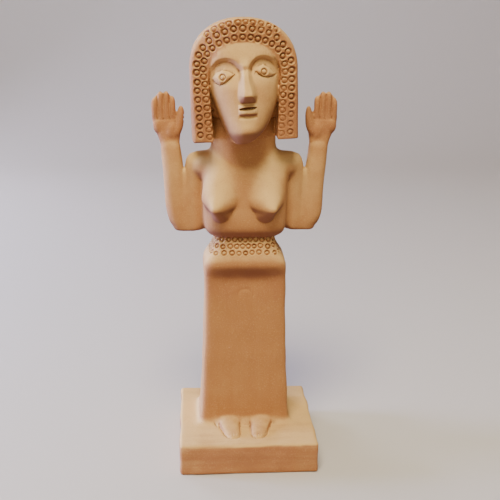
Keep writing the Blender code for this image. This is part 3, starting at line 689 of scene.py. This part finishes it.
def arch_line(half, spring, top, bottom, bottom_half, step=0.1, turns=400):
    """Points along one arched row of the hair, from its left end over the crown to its right end."""
    side = []
    for k in range(int((spring - bottom) / step)):
        share = k * step / (spring - bottom)
        side.append((-(bottom_half + (half - bottom_half) * share), bottom + k * step))
    crown = []
    power = 2 / 2.2
    for k in range(turns + 1):
        angle = math.pi * (1 - k / turns)
        across = math.copysign(abs(math.cos(angle)) ** power, math.cos(angle))
        crown.append((half * across, spring + (top - spring) * math.sin(angle) ** power))
    return side + crown + [(-x, z) for x, z in reversed(side)]


def pace(points, pitch, hand, jitter):
    """Places at an uneven hand-made pitch along a line of points."""
    places = []
    left = pitch * 0.3
    for here, there in zip(points, points[1:]):
        left -= math.dist(here, there)
        if left <= 0:
            left += pitch * hand.uniform(0.94, 1.08)
            wander = [hand.uniform(-jitter, jitter) for _ in there]
            places.append([a + b for a, b in zip(there, wander)])
    return places


def stamp(clay, hand, place, depths, firmness=1.0):
    """Presses one ring into the hair, as deep and as wide as the hand makes it."""
    depth = sizes().press * hand.uniform(*depths) * firmness
    clay.ring(place, sizes().hair_ring * hand.uniform(0.94, 1.06), sizes().groove, depth)


# Rows on the front of the hair: the arch (half width, spring, top, bottom, half width at the bottom), the
# pitch and the firmness of the rings, and how far across and how low the row goes
BAND_ROWS = (
    ((24.0, 47.0, 65.1, 6.0, 20.8), 4.55, 0.95, 99, 0),
    ((28.4, 45.0, 70.2, 7.0, 27.0), 5.1, 1.0, 99, 0),
    ((32.4, 46.0, 74.4, 7.0, 32.4), 4.8, 1.5, 23, 50),
)


def press_band(clay, hand):
    """Two rows round the face and one along the front edge of the crown."""
    forward = HEAD.to_3x3() @ Vector((0, 1, 0))
    pressed = []
    for row, pitch, firmness, widest, lowest in BAND_ROWS:
        line = [(x, z) for x, z in arch_line(*row) if abs(x) < widest and z > lowest]
        for x, z in pace(line, pitch, hand, 0.22):
            place = clay.meet(HEAD @ Vector((x, -60, z)), forward)
            if place is not None:
                smear = 0.55 if x > 18 and z < 20 else 1.0
                stamp(clay, hand, place, (0.75, 1.15), smear * firmness)
                pressed.append(place)
    return pressed


def press_sides(clay, hand):
    """Level rows round the sides and the back, which close in over the dome of the wig's top."""
    around = 26
    front_limit = -15.5
    outside = 36.8 * MM
    dome_floor = 50
    dome_height = 24
    pressed = []
    for row in range(13):
        level = 7.6 + RING_PITCH * row
        dome = max(0.0, (level - dome_floor) / dome_height)
        lift = math.radians(dome * 80)
        count = max(5, int(around * math.cos(math.radians(dome * 74))))
        centre = HEAD @ Vector((0, -1, min(level, 52)))
        for k in range(count):
            angle = math.radians(-38 + 256 * (k + 0.5 * (row % 2)) / count)
            way = Vector((math.cos(angle) * math.cos(lift), math.sin(angle) * math.cos(lift), math.sin(lift)))
            way = (HEAD.to_3x3() @ way).normalized()
            place = clay.meet(centre + way * outside, -way)
            if place is None or (HEAD.inverted() @ place).y < front_limit:
                continue
            jitter = Vector([hand.uniform(-0.3, 0.3) * MM for _ in range(3)])
            stamp(clay, hand, place + jitter, (0.7, 1.1))
            pressed.append(place)
    return pressed


def press_crown(clay, hand, pressed):
    """Staggered rows on the top, wherever there is room beside the rings already pressed."""
    room = 4.3 * MM
    lowest = 58
    down = HEAD.to_3x3() @ Vector((0, 0, -1))
    for row in range(11):
        for k in range(-7, 8):
            x = (k + 0.5 * (row % 2)) * RING_PITCH + hand.uniform(-0.2, 0.2)
            y = -18.4 + row * 4.5 + hand.uniform(-0.2, 0.2)
            place = clay.meet(HEAD @ Vector((x, y, 100)), down)
            if place is None or (HEAD.inverted() @ place).z < lowest:
                continue
            if min((place - other).length for other in pressed) > room:
                stamp(clay, hand, place, (0.7, 1.1))
                pressed.append(place)


def press_hair(clay):
    """Rows of rings on the front band, down the sides and the back of the wig, and over its crown."""
    hand = random.Random(sizes().seed)
    pressed = press_band(clay, hand)
    pressed += press_sides(clay, hand)
    press_crown(clay, hand, pressed)


def press_belt(clay):
    """Three staggered rows of small rings round the waist."""
    hand = random.Random(sizes().seed + 1)
    count = 34
    for row, level in enumerate((116.7, 120.4, 124.0)):
        for k in range(count):
            angle = math.radians(-90 + 360 * (k + 0.5 * (row % 2)) / count)
            x = 26 * math.cos(angle)
            y = 20 * math.sin(angle)
            z = level + hand.uniform(-0.3, 0.3)
            start = FIGURE @ Vector((x * 1.6, y * 1.6, z))
            way = (FIGURE @ Vector((x * 0.3, y * 0.3, z))) - start
            place = clay.meet(start, way)
            if place is not None:
                depth = sizes().press * hand.uniform(0.6, 1.0)
                clay.ring(place, sizes().belt_ring * hand.uniform(0.9, 1.12), sizes().groove * 0.85, depth)


# Lines on the hand, with their width and depth: the fingers' roots, beside the thumb, and the wrist
HAND_LINES = (
    (((-6.6, -2.6, 199.4), (0, -2.8, 198.6), (6.8, -2.4, 198.2)), 1.2, 0.25),
    (((-7.8, -3.6, 188), (-6.2, -3.6, 191), (-7.2, -3.2, 196)), 1.6, 0.35),
    (((-8.5, -4.2, 183.4), (-4, -4.4, 182.6), (1.5, -3.8, 183.2)), 2.4, 0.12),
)


def score_hands(clay):
    """Grooves between the fingers, the creases at their roots, and the lines of the palms."""
    between_fingers = ((0, -2.2, 199.2), (0.1, -2.4, 206), (0.1, -2.2, 213.5))
    for side in SIDES.values():
        for out in (-3.7, 0.0, 3.7):
            clay.score(mirrored(side, HAND_OUT + out, between_fingers), 0.9, 1.0, FIGURE)
        for line, width, depth in HAND_LINES:
            clay.score(mirrored(side, HAND_OUT, line), width, depth, FIGURE)


def score_feet(clay):
    """The outlines drawn round the feet on the plinth, and the toes."""
    down = (0, 0, -1)
    left = [
        (-17.2, -22.4, 0), (-16.4, -26, 0), (-15.0, -31, 0), (-13.8, -36, 0), (-12.0, -39.4, 0),
        (-9.6, -40.9, 0), (-6.8, -40.9, 0), (-4.6, -39.0, 0), (-3.6, -35, 0), (-3.3, -29, 0), (-3.4, -22, 0),
    ]
    right = [
        (3.1, -22, 0), (2.9, -29, 0), (3.2, -35, 0), (4.1, -39.0, 0), (6.4, -40.9, 0), (9.2, -40.9, 0),
        (11.4, -39.2, 0), (13.4, -35.5, 0), (14.8, -30, 0), (16.4, -25, 0), (17.4, -21.6, 0),
    ]
    for line in (left, right):
        clay.score(line, 1.0, 0.9, FIGURE, down)
    clay.score([(-20.0, -21.4, 0), (-18.6, -23.6, 0), (-17.0, -24.2, 0)], 0.9, 0.45, FIGURE, down)
    for x in (-10.6, -8.6, -6.8, 5.4, 7.2, 9.0):
        clay.score([(x, -40, 1), (x * 1.02, -37.2, 1)], 0.7, 0.22, FIGURE, down)


def score_skirt(clay):
    """The arched fold under the belly, with faint upright edges below it."""
    line = []
    for k in range(13):
        angle = math.radians(5 + 170 * k / 12)
        line.append((-0.2 + 5.0 * math.cos(angle), -17.5, 87.6 + 4.6 * math.sin(angle)))
    clay.score(line, 1.2, 0.3, FIGURE)
    x, y, z = clay.seen_from(FIGURE).T
    hollow = 2.0 * np.exp(-(((x + 0.2) / 20) ** 4 + ((z - 97) / 8) ** 2))
    hollow += 0.5 * np.exp(-((x / 15) ** 4)) * band(z, 6, 30, 84, 98)
    clay.points[:, 1] += hollow * smooth_step(-12, -15, y) * MM


def waver(clay):
    """The slow unevenness of a surface shaped by hand: calmer on the head, livelier on the plinth."""
    hand = np.random.default_rng(sizes().seed)
    here = clay.seen_from(FIGURE)
    wave = np.zeros(len(here))
    for wavelength, height in ((38, 0.06), (24, 0.045), (14, 0.03), (8, 0.012), (5, 0.008)):
        for _ in range(5):
            way = hand.normal(size=3)
            way /= np.linalg.norm(way)
            wave += height * np.sin(here @ way * (2 * math.pi / wavelength) + hand.uniform(0, 2 * math.pi))
    calm = 1 - 0.6 * (here[:, 2] > 188) * (np.abs(here[:, 0]) < 34)
    calm += 1.5 * (1 - smooth_step(-2, 0, here[:, 2]))
    clay.points += (wave * calm * (here[:, 2] > 0.6 - PLINTH_HEIGHT))[:, None] * clay.normals * MM


# Operators


class FigurineForms(bpy.types.Operator):
    """Extrude the plinth, skirt, trunk and breasts"""

    bl_idname = "figurine.trunk"
    bl_label = "Plinth, skirt and trunk"

    def execute(self, context):
        keep_forms(plinth_forms() + skirt_forms() + torso_forms() + breast_forms())
        return {"FINISHED"}


class FigurineLimbs(bpy.types.Operator):
    """Extrude the arms, hands and feet"""

    bl_idname = "figurine.limbs"
    bl_label = "Arms, hands and feet"

    def execute(self, context):
        for name, side in SIDES.items():
            keep_forms(arm_forms(name, side) + hand_forms(name, side) + foot_forms(name, side))
        return {"FINISHED"}


class FigurineHead(bpy.types.Operator):
    """Extrude the wig and the mask of the face"""

    bl_idname = "figurine.head"
    bl_label = "Head"

    def execute(self, context):
        keep_forms(hair_forms() + face_forms())
        return {"FINISHED"}


class FigurineFuse(bpy.types.Operator):
    """Fuse the raw forms into one body of clay and soften where they meet"""

    bl_idname = "figurine.fuse"
    bl_label = "Fuse the clay"

    def execute(self, context):
        forms = [obj for obj in bpy.data.objects if "raw_clay" in obj]
        if not forms:
            raise RuntimeError("there is no raw clay to fuse")
        bpy.ops.object.select_all(action="DESELECT")
        for form in forms:
            form.select_set(True)
        context.view_layer.objects.active = forms[0]
        bpy.ops.object.join()
        clay = context.object
        clay.name = "goddess_figurine"
        clay.data.name = "goddess_figurine"
        grain = sizes().grain * 1.0
        modify(clay, "REMESH", mode="VOXEL", voxel_size=grain)
        soften(clay, grain)
        refine(clay)
        return {"FINISHED"}


def fused_clay():
    """The one body of clay that the forms were fused into."""
    piece = bpy.data.objects.get("goddess_figurine")
    if piece is None:
        raise RuntimeError("fuse the clay first")
    return piece


def soften(clay, grain):
    """Smooths the whole a little, and the joints of the forms more."""
    x, y, z = Clay(clay).seen_from(FIGURE).T
    aside = np.abs(x)
    neck = hill(z, 179, 5) * (aside < 34)
    chest = smooth_step(-12, -15, y) * hill(z, 163, 11) * (aside < 28)
    cleft = hill(z, 169, 10) * hill(aside, 25, 6)
    hem = hill(z, 2, 2.5) * (aside < 34) * (np.abs(y) < 24)
    armpit = hill(aside, 26, 4) * smooth_step(124, 134, z) * (z < 172)
    joint = np.clip(neck + chest + cleft + hem + armpit, 0, 1)
    group = clay.vertex_groups.new(name="joints")
    for step in range(1, 11):
        chosen = np.nonzero(np.abs(joint * 10 - step) < 0.5)[0]
        group.add([int(i) for i in chosen], step / 10, "REPLACE")
    # Fewer rounds do the same on a coarser mesh
    rounds = (MM / grain) ** 2
    modify(clay, "SMOOTH", factor=0.5, iterations=int(50 * rounds), vertex_group="joints")
    modify(clay, "SMOOTH", factor=0.5, iterations=int(2 * rounds))
    clay.vertex_groups.clear()


def refine(clay):
    """Divides the faces finer where small details are pressed: hair, face, belt and feet."""
    x, y, z = Clay(clay).seen_from(FIGURE).T
    fine = (z > 188) & (np.abs(x + 1) < 34)
    fine |= (z > 114) & (z < 127)
    fine |= (np.abs(z - 1) < 3) & (np.abs(x) < 22) & (y < -17) & (y > -43)
    corners = np.empty(len(clay.data.loops), np.int32)
    clay.data.loops.foreach_get("vertex_index", corners)
    starts = np.empty(len(clay.data.polygons), np.int32)
    clay.data.polygons.foreach_get("loop_start", starts)
    pick(clay)
    mode("EDIT")
    bpy.ops.mesh.select_mode(type="FACE")
    bpy.ops.mesh.select_all(action="DESELECT")
    mode("OBJECT")
    clay.data.polygons.foreach_set("select", fine[corners[starts]])
    mode("EDIT")
    bpy.ops.mesh.subdivide(number_cuts=1)
    mode("OBJECT")


class FigurineDetails(bpy.types.Operator):
    """Scoop the eyes and mouth, press the rings and score the lines"""

    bl_idname = "figurine.details"
    bl_label = "Details"

    def execute(self, context):
        piece = fused_clay()
        modify(piece, "SMOOTH", factor=0.5, iterations=2)
        clay = Clay(piece)
        scoop_face(clay)
        clay.write()
        clay = Clay(piece)
        clay.surface()
        score_face(clay)
        press_hair(clay)
        press_belt(clay)
        score_hands(clay)
        score_feet(clay)
        score_skirt(clay)
        waver(clay)
        clay.write()
        modify(piece, "SMOOTH", factor=0.4, iterations=1)
        return {"FINISHED"}


class FigurineFinish(bpy.types.Operator):
    """Thin the mesh, mark its hollows, its tones and its painted light and shade, give it its fired clay and
    let it ride on the frame
    """

    bl_idname = "figurine.finish"
    bl_label = "Finish the piece"

    def execute(self, context):
        piece = fused_clay()
        ratio = min(1.0, sizes().triangles / (2 * len(piece.data.polygons)))
        modify(piece, "DECIMATE", ratio=ratio, use_collapse_triangulate=True)
        points = Clay(piece)
        write_attribute(piece.data, "hollow", hollows(points))
        write_attribute(piece.data, "dust", dust(points))
        write_attribute(piece.data, "under", underside_shade(points))
        bpy.ops.object.shade_smooth()
        piece.data.materials.clear()
        piece.data.materials.append(fired_clay())
        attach(piece, "root")
        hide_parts("figurine")
        return {"FINISHED"}


# Attributes that the material reads


def write_attribute(mesh, name, values):
    attribute = mesh.attributes.new(name, "FLOAT", "POINT")
    attribute.data.foreach_set("value", values.astype(np.float32))


def in_wig(here):
    """1 on the wig and 0 on the face, from places in the head's frame."""
    x, y, z = here.T
    half, spring, top = HAIRLINE
    across = (np.abs(x) + 3.0 * np.clip(1 - z / 30, 0, 1)) / half
    up = np.maximum(z - spring, 0) / (top - spring)
    reach = (across**HAUNCH + up**HAUNCH) ** (1 / HAUNCH)
    return smooth_step(0.93, 0.98, np.where(y < -12, reach, 1.2)) * (z > HAIR_CUT - 0.5)


def in_mask(here):
    """1 on the face and 0 elsewhere, from places in the head's frame."""
    return (here[:, 2] > 2) * smooth_step(13, 17, -here[:, 1]) * (1 - in_wig(here))


def hollows(points):
    """1 deep in a groove or crease and 0 on open clay: how far a point lies under its smoothed surroundings.
    Long edges lie where the clay is plain, and count as open. The material lays painted shade there, which
    also stands for grime in the hollows."""
    mesh = points.piece.data
    edges = np.empty(len(mesh.edges) * 2, np.int32)
    mesh.edges.foreach_get("vertices", edges)
    here, there = edges.reshape(-1, 2).T

    def total(at_here, at_there, shape):
        """Sums over the edges of each point."""
        sums = np.zeros(shape)
        np.add.at(sums, here, at_here)
        np.add.at(sums, there, at_there)
        return sums

    flat = points.points.copy()
    count = np.maximum(total(1, 1, len(flat)), 1)
    for _ in range(6):
        flat = 0.5 * flat + 0.5 * total(flat[there], flat[here], flat.shape) / count[:, None]
    depth = ((flat - points.points) * points.normals).sum(axis=1) / MM
    edge = np.linalg.norm(points.points[here] - points.points[there], axis=1) / MM
    spread = total(edge, edge, len(flat)) / count
    return smooth_step(0.03, 0.32, depth) * (1 - smooth_step(0.8, 1.3, spread))


def dust(points):
    """How pale the clay is, from -0.6 to 1, with dust, painted light and painted shade together: paler on
    what faces up, partly as dust and partly as painted light from above.
    """
    x, y, height = points.seen_from(FIGURE).T
    sideways, forward, upward = np.abs(points.normals[:, 0]), -points.normals[:, 1], points.normals[:, 2]
    head = points.seen_from(HEAD)
    mask = in_mask(head)
    aside = np.abs(x)
    # Faces turned up are paler: partly dust settled on them, partly painted light from above
    pale = 0.75 * smooth_step(-0.1, 0.75, upward)
    # The upper figure and the face are paler, and the wig is redder
    pale += 0.22 * smooth_step(120, 165, height) + 0.22 * mask
    pale -= 0.36 * in_wig(head)
    # The palms are redder, and the arms and the breasts paler
    pale -= 0.18 * smooth_step(34, 38, aside) * smooth_step(168, 194, height)
    pale += 0.15 * smooth_step(28, 32, aside) * (1 - smooth_step(168, 190, height))
    pale += 0.12 * smooth_step(-18, -23, y) * band(height, 128, 134, 150, 164)
    # The throat is redder with the painted shadow of the chin, in a wedge that opens upwards, and so is the
    # fold under the belly with painted shade under the belly's overhang
    painted_chin_shadow = smooth_step(8, -3, np.abs(x + 0.7) - 0.75 * (height - 159)) * band(height, 150, 174, 204, 226)
    pale -= 0.44 * painted_chin_shadow * smooth_step(-9, -12, y) * (1 - mask)
    pale -= 0.40 * smooth_step(-14, -16, y) * hill(height, 95, 11)
    # The plinth's top is paler, and the skirt's flanks are paler with a painted sheen of the light from the
    # left
    pale += 0.08 * smooth_step(0.4, 0.8, upward) * (height < 3)
    pale += 0.25 * smooth_step(0.5, 0.9, sideways) * (aside < 36) * band(height, 3, 8, 104, 114)
    # The sides of the jaw are redder with painted shade where they turn from the light, and the feet are
    # redder
    pale -= 0.55 * (1 - smooth_step(0.15, 0.5, forward)) * mask * (head[:, 2] < 30)
    pale -= 0.22 * smooth_step(19, 17, aside) * smooth_step(-17, -20, y) * (height < 10) * (height > 0.7)
    return np.clip(pale, -0.6, 1)


def underside_shade(points):
    """Painted shade: 1 on what faces down, but 0 on the neck and the jowls, and less in the eye sockets."""
    x, y, height = points.seen_from(FIGURE).T
    head = points.seen_from(HEAD)
    under = smooth_step(0.03, 0.55, -points.normals[:, 2]) * (height > 5)
    under *= 1 - (height > 186) * (height < 236) * (np.abs(x) < 25) * (y > -25)
    return under * (1 - 0.65 * in_mask(head) * smooth_step(34, 40, head[:, 2]))


# Material


class Value:
    """A node's output that takes part in Python sums."""

    def __init__(self, nodes, socket):
        self.nodes = nodes
        self.socket = socket

    def math(self, operation, *others):
        return self.nodes.add("ShaderNodeMath", {"operation": operation}, self, *others)

    def __add__(self, other):
        return self.math("ADD", other)

    __radd__ = __add__

    def __sub__(self, other):
        return self.math("SUBTRACT", other)

    def __rsub__(self, other):
        return self.nodes.add("ShaderNodeMath", {"operation": "SUBTRACT"}, other, self)

    def __mul__(self, other):
        return self.math("MULTIPLY", other)

    __rmul__ = __mul__


class Nodes:
    """Adds nodes to a material. Inputs are given in order, or by name."""

    def __init__(self, material):
        material.use_nodes = True
        self.tree = material.node_tree
        self.shader = self.tree.nodes["Principled BSDF"]

    def put(self, socket, value):
        if isinstance(value, Value):
            self.tree.links.new(value.socket, socket)
        else:
            socket.default_value = value

    def add(self, kind, settings, *inputs, output=0, **named):
        node = self.tree.nodes.new(kind)
        for name, value in settings.items():
            setattr(node, name, value)
        for socket, value in zip(node.inputs, inputs):
            self.put(socket, value)
        for name, value in named.items():
            self.put(node.inputs[name.replace("_", " ")], value)
        return Value(self, node.outputs[output])

    def mix(self, factor, low, high):
        node = self.tree.nodes.new("ShaderNodeMix")
        node.data_type = "RGBA"
        self.put(node.inputs["Factor"], factor)
        for name, value in (("A", low), ("B", high)):
            socket = [s for s in node.inputs if s.name == name and s.type == "RGBA"][0]
            self.put(socket, value if isinstance(value, Value) else (*value[:3], 1))
        return Value(self, [s for s in node.outputs if s.type == "RGBA"][0])

    def step(self, value, low, high):
        """0 below low, 1 above high, and smooth between."""
        settings = {"interpolation_type": "SMOOTHSTEP"}
        return self.add("ShaderNodeMapRange", settings, Value=value, From_Min=low, From_Max=high)

    def shade(self, colour, roughness):
        """Gives the material its colour and its roughness."""
        self.put(self.shader.inputs["Base Color"], colour)
        self.put(self.shader.inputs["Roughness"], roughness)


def fired_clay():
    """Pale buff terracotta: mottled, sandy, scored by the modelling tools, darker in its hollows with painted
    shade and grime, darker on what faces down with painted shade, and paler on what faces up with dust and
    painted light.
    """
    material = bpy.data.materials.new("fired clay")
    n = Nodes(material)
    tints = colours()
    place = n.add("ShaderNodeTexCoord", {}, output=3)
    # Painted shade and grime in the hollows, paleness from dust and painted light, and painted shade on the
    # undersides
    names = ("hollow", "dust", "under")
    hollow, dust_and_light, under = (n.add("ShaderNodeAttribute", {"attribute_name": k}, output=2) for k in names)

    def cloud(size_mm, detail=3.0, squash=(1, 1, 1)):
        moved = n.add("ShaderNodeMapping", {}, Vector=place, Scale=[s * 1000 / size_mm for s in squash])
        return n.add("ShaderNodeTexNoise", {}, Vector=moved, Scale=1.0, Detail=detail, Roughness=0.55)

    # Strokes run up the figure, and sweeps run along the plinth
    upright = (1, 1, 0.05)
    lying = (0.05, 0.3, 1)
    broad = cloud(38)
    mottle = cloud(6.5)
    sand = cloud(0.75, 2.0)
    strokes = cloud(1.6, 2.0, upright)
    sweeps = cloud(1.8, 2.0, lying)
    level = n.add("ShaderNodeSeparateXYZ", {}, place, output=2)
    above = n.step(level, PLINTH_HEIGHT * MM, 0.024)
    block = 1 - above
    skirt = above * (1 - n.step(level, 0.122, 0.134))
    # How bare the clay is of dust and of painted light, which shows its warm colour: the warm and the reddest
    # colours stand partly for painted shade
    drawn = cloud(4.5, 2.0, upright) * skirt + cloud(3.2, 3.0, lying) * block
    bare = n.step(broad, 0.30, 0.70) * 0.16 + n.step(mottle, 0.35, 0.75) * 0.10 + 0.90 - dust_and_light * 0.97
    bare = bare + (n.step(drawn, 0.35, 0.68) - 0.5) * (skirt * 0.10 + block * 0.36)
    colour = n.mix(n.step(bare, 0.0, 1.0), tints.pale, tints.warm)
    # The barest clay turns reddest, partly as painted shade
    colour = n.mix(n.step(bare, 0.90, 1.50) * 0.6, colour, tints.burnt)
    colour = n.mix(block * (0.83 - dust_and_light) * 0.55, colour, tints.block)
    # Light and dark grains of sand
    light = tuple(min(1.0, c * 1.12) for c in tints.pale)
    dark = tuple(c * 0.62 for c in tints.warm)
    colour = n.mix(n.step(sand, 0.52, 0.75) * 0.20, colour, light)
    colour = n.mix((1 - n.step(sand, 0.26, 0.42)) * 0.25, colour, dark)
    # Painted shade on what faces down
    colour = n.mix(under * 0.9, colour, tints.under)
    # Painted shade, with grime, in grooves and creases
    colour = n.mix(hollow * 0.85, colour, tints.deep)
    height = (strokes * above + sweeps * block) * 0.22 + sand * 0.16 + cloud(3.0) * 0.5
    bump = n.add("ShaderNodeBump", {}, Strength=0.55, Distance=0.0006, Height=height)
    n.shade(colour, 0.86 - n.step(mottle, 0.4, 0.7) * 0.08)
    n.put(n.shader.inputs["Normal"], bump)
    n.put(n.shader.inputs["Specular IOR Level"], 0.3)
    n.put(n.shader.inputs["Metallic"], 0.0)
    return material


# Stage


# Each light's name, place, target, size in metres, power in watts and colour
LIGHTS = (
    ("key light", (-0.16, -0.74, 1.44), (0, 0, 0.15), 0.6, 34, (1.0, 0.93, 0.73)),
    ("room light", (-0.45, -1.30, 0.72), (0, 0, 0.15), 0.7, 4.2, (1.0, 0.88, 0.70)),
    ("window light", (-1.1, 0.14, 0.20), (0, 0, 0.16), 0.3, 44, (0.40, 0.49, 1.0)),
    ("back window light", (-0.85, 0.85, 0.45), (0, 0, 0.15), 0.5, 14, (0.66, 0.68, 1.0)),
)
FLOOR_COLOUR = (0.56, 0.51, 0.44, 1)
ROOM_COLOUR = (1.0, 0.84, 0.72, 1)
ROOM_STRENGTH = 0.10
CAMERA_PLACE = (-0.0338, -0.5425, 0.2916)
CAMERA_TURN = math.radians(-3.79)
CAMERA_PITCH = math.radians(15.98)
CAMERA_ROLL = math.radians(0.46)
CAMERA_LENS = 63.36


def lay_floor():
    """A wide floor that bends up into walls far behind."""
    bpy.ops.object.select_all(action="DESELECT")
    bpy.ops.mesh.primitive_plane_add(size=5, location=(0, -0.9, 0))
    floor = bpy.context.object
    floor.name = "floor"
    mode("EDIT")
    bpy.ops.mesh.select_mode(type="EDGE")
    bpy.ops.mesh.select_all(action="DESELECT")
    mode("OBJECT")
    for edge in floor.data.edges:
        edge.select = True
    mode("EDIT")
    bpy.ops.mesh.extrude_region_move(TRANSFORM_OT_translate={"value": (0, 0, 2)})
    bpy.ops.mesh.select_all(action="SELECT")
    bpy.ops.mesh.bevel(offset=0.6, segments=12, affect="EDGES")
    mode("OBJECT")
    bpy.ops.object.transform_apply(location=True, rotation=True, scale=True)
    bpy.ops.object.shade_smooth()
    material = bpy.data.materials.new("pale floor")
    Nodes(material).shade(FLOOR_COLOUR, 0.9)
    floor.data.materials.append(material)


def area_light(name, place, target, size, power, colour):
    bpy.ops.object.light_add(type="AREA", location=place)
    lamp = bpy.context.object
    lamp.name = name
    lamp.data.size = size
    lamp.data.energy = power
    lamp.data.color = colour
    lamp.rotation_euler = (Vector(target) - Vector(place)).to_track_quat("-Z", "Y").to_euler()


def light_room(scene):
    """The lights, and the room's faint light from all round."""
    for light in LIGHTS:
        area_light(*light)
    world = bpy.data.worlds.new("soft room")
    world.use_nodes = True
    background = world.node_tree.nodes["Background"]
    background.inputs["Color"].default_value = ROOM_COLOUR
    background.inputs["Strength"].default_value = ROOM_STRENGTH
    scene.world = world


def set_camera(scene):
    """The camera, turned to one side, pitched down and rolled a little."""
    bpy.ops.object.camera_add(location=CAMERA_PLACE)
    camera = bpy.context.object
    flat, fall = math.cos(CAMERA_PITCH), -math.sin(CAMERA_PITCH)
    ahead = Vector((-math.sin(CAMERA_TURN) * flat, math.cos(CAMERA_TURN) * flat, fall))
    right = Vector((math.cos(CAMERA_TURN), math.sin(CAMERA_TURN), 0))
    up = right.cross(ahead)
    across = right * math.cos(CAMERA_ROLL) + up * math.sin(CAMERA_ROLL)
    upright = -right * math.sin(CAMERA_ROLL) + up * math.cos(CAMERA_ROLL)
    camera.rotation_euler = Matrix((across, upright, -ahead)).transposed().to_euler()
    camera.data.sensor_width = 36
    camera.data.lens = CAMERA_LENS
    camera.data.clip_start = 0.01
    scene.camera = camera


class FigurineStage(bpy.types.Operator):
    """Set the pale floor, the soft lights and the camera"""

    bl_idname = "figurine.stage"
    bl_label = "Stage"

    def execute(self, context):
        lay_floor()
        light_room(context.scene)
        set_camera(context.scene)
        return {"FINISHED"}


class FigurinePanel(bpy.types.Panel):
    """The figurine's steps in the order of its making"""

    bl_idname = "VIEW3D_PT_figurine"
    bl_label = "Terracotta goddess"
    bl_space_type = "VIEW_3D"
    bl_region_type = "UI"
    bl_category = "Figurine"

    def draw(self, context):
        for holder in (context.scene.figurine_sizes, context.scene.figurine_colours):
            for name in holder.__annotations__:
                self.layout.prop(holder, name)
        for operator in STEPS:
            self.layout.operator(operator.bl_idname)


STEPS = (
    FigurineForms,
    FigurineLimbs,
    FigurineHead,
    FigurineFuse,
    FigurineDetails,
    FigurineFinish,
    FigurineStage,
)
CLASSES = (ClaySizes, ClayColours, *STEPS, FigurinePanel)


def register():
    for item in CLASSES:
        bpy.utils.register_class(item)
    bpy.types.Scene.figurine_sizes = PointerProperty(type=ClaySizes)
    bpy.types.Scene.figurine_colours = PointerProperty(type=ClayColours)


def unregister():
    del bpy.types.Scene.figurine_colours
    del bpy.types.Scene.figurine_sizes
    for item in reversed(CLASSES):
        bpy.utils.unregister_class(item)


def main():
    register()
    bpy.ops.figurine.trunk()
    bpy.ops.figurine.limbs()
    bpy.ops.figurine.head()
    bpy.ops.figurine.fuse()
    bpy.ops.figurine.details()
    bpy.ops.figurine.finish()
    bpy.ops.figurine.stage()


if __name__ == "__main__":
    main()
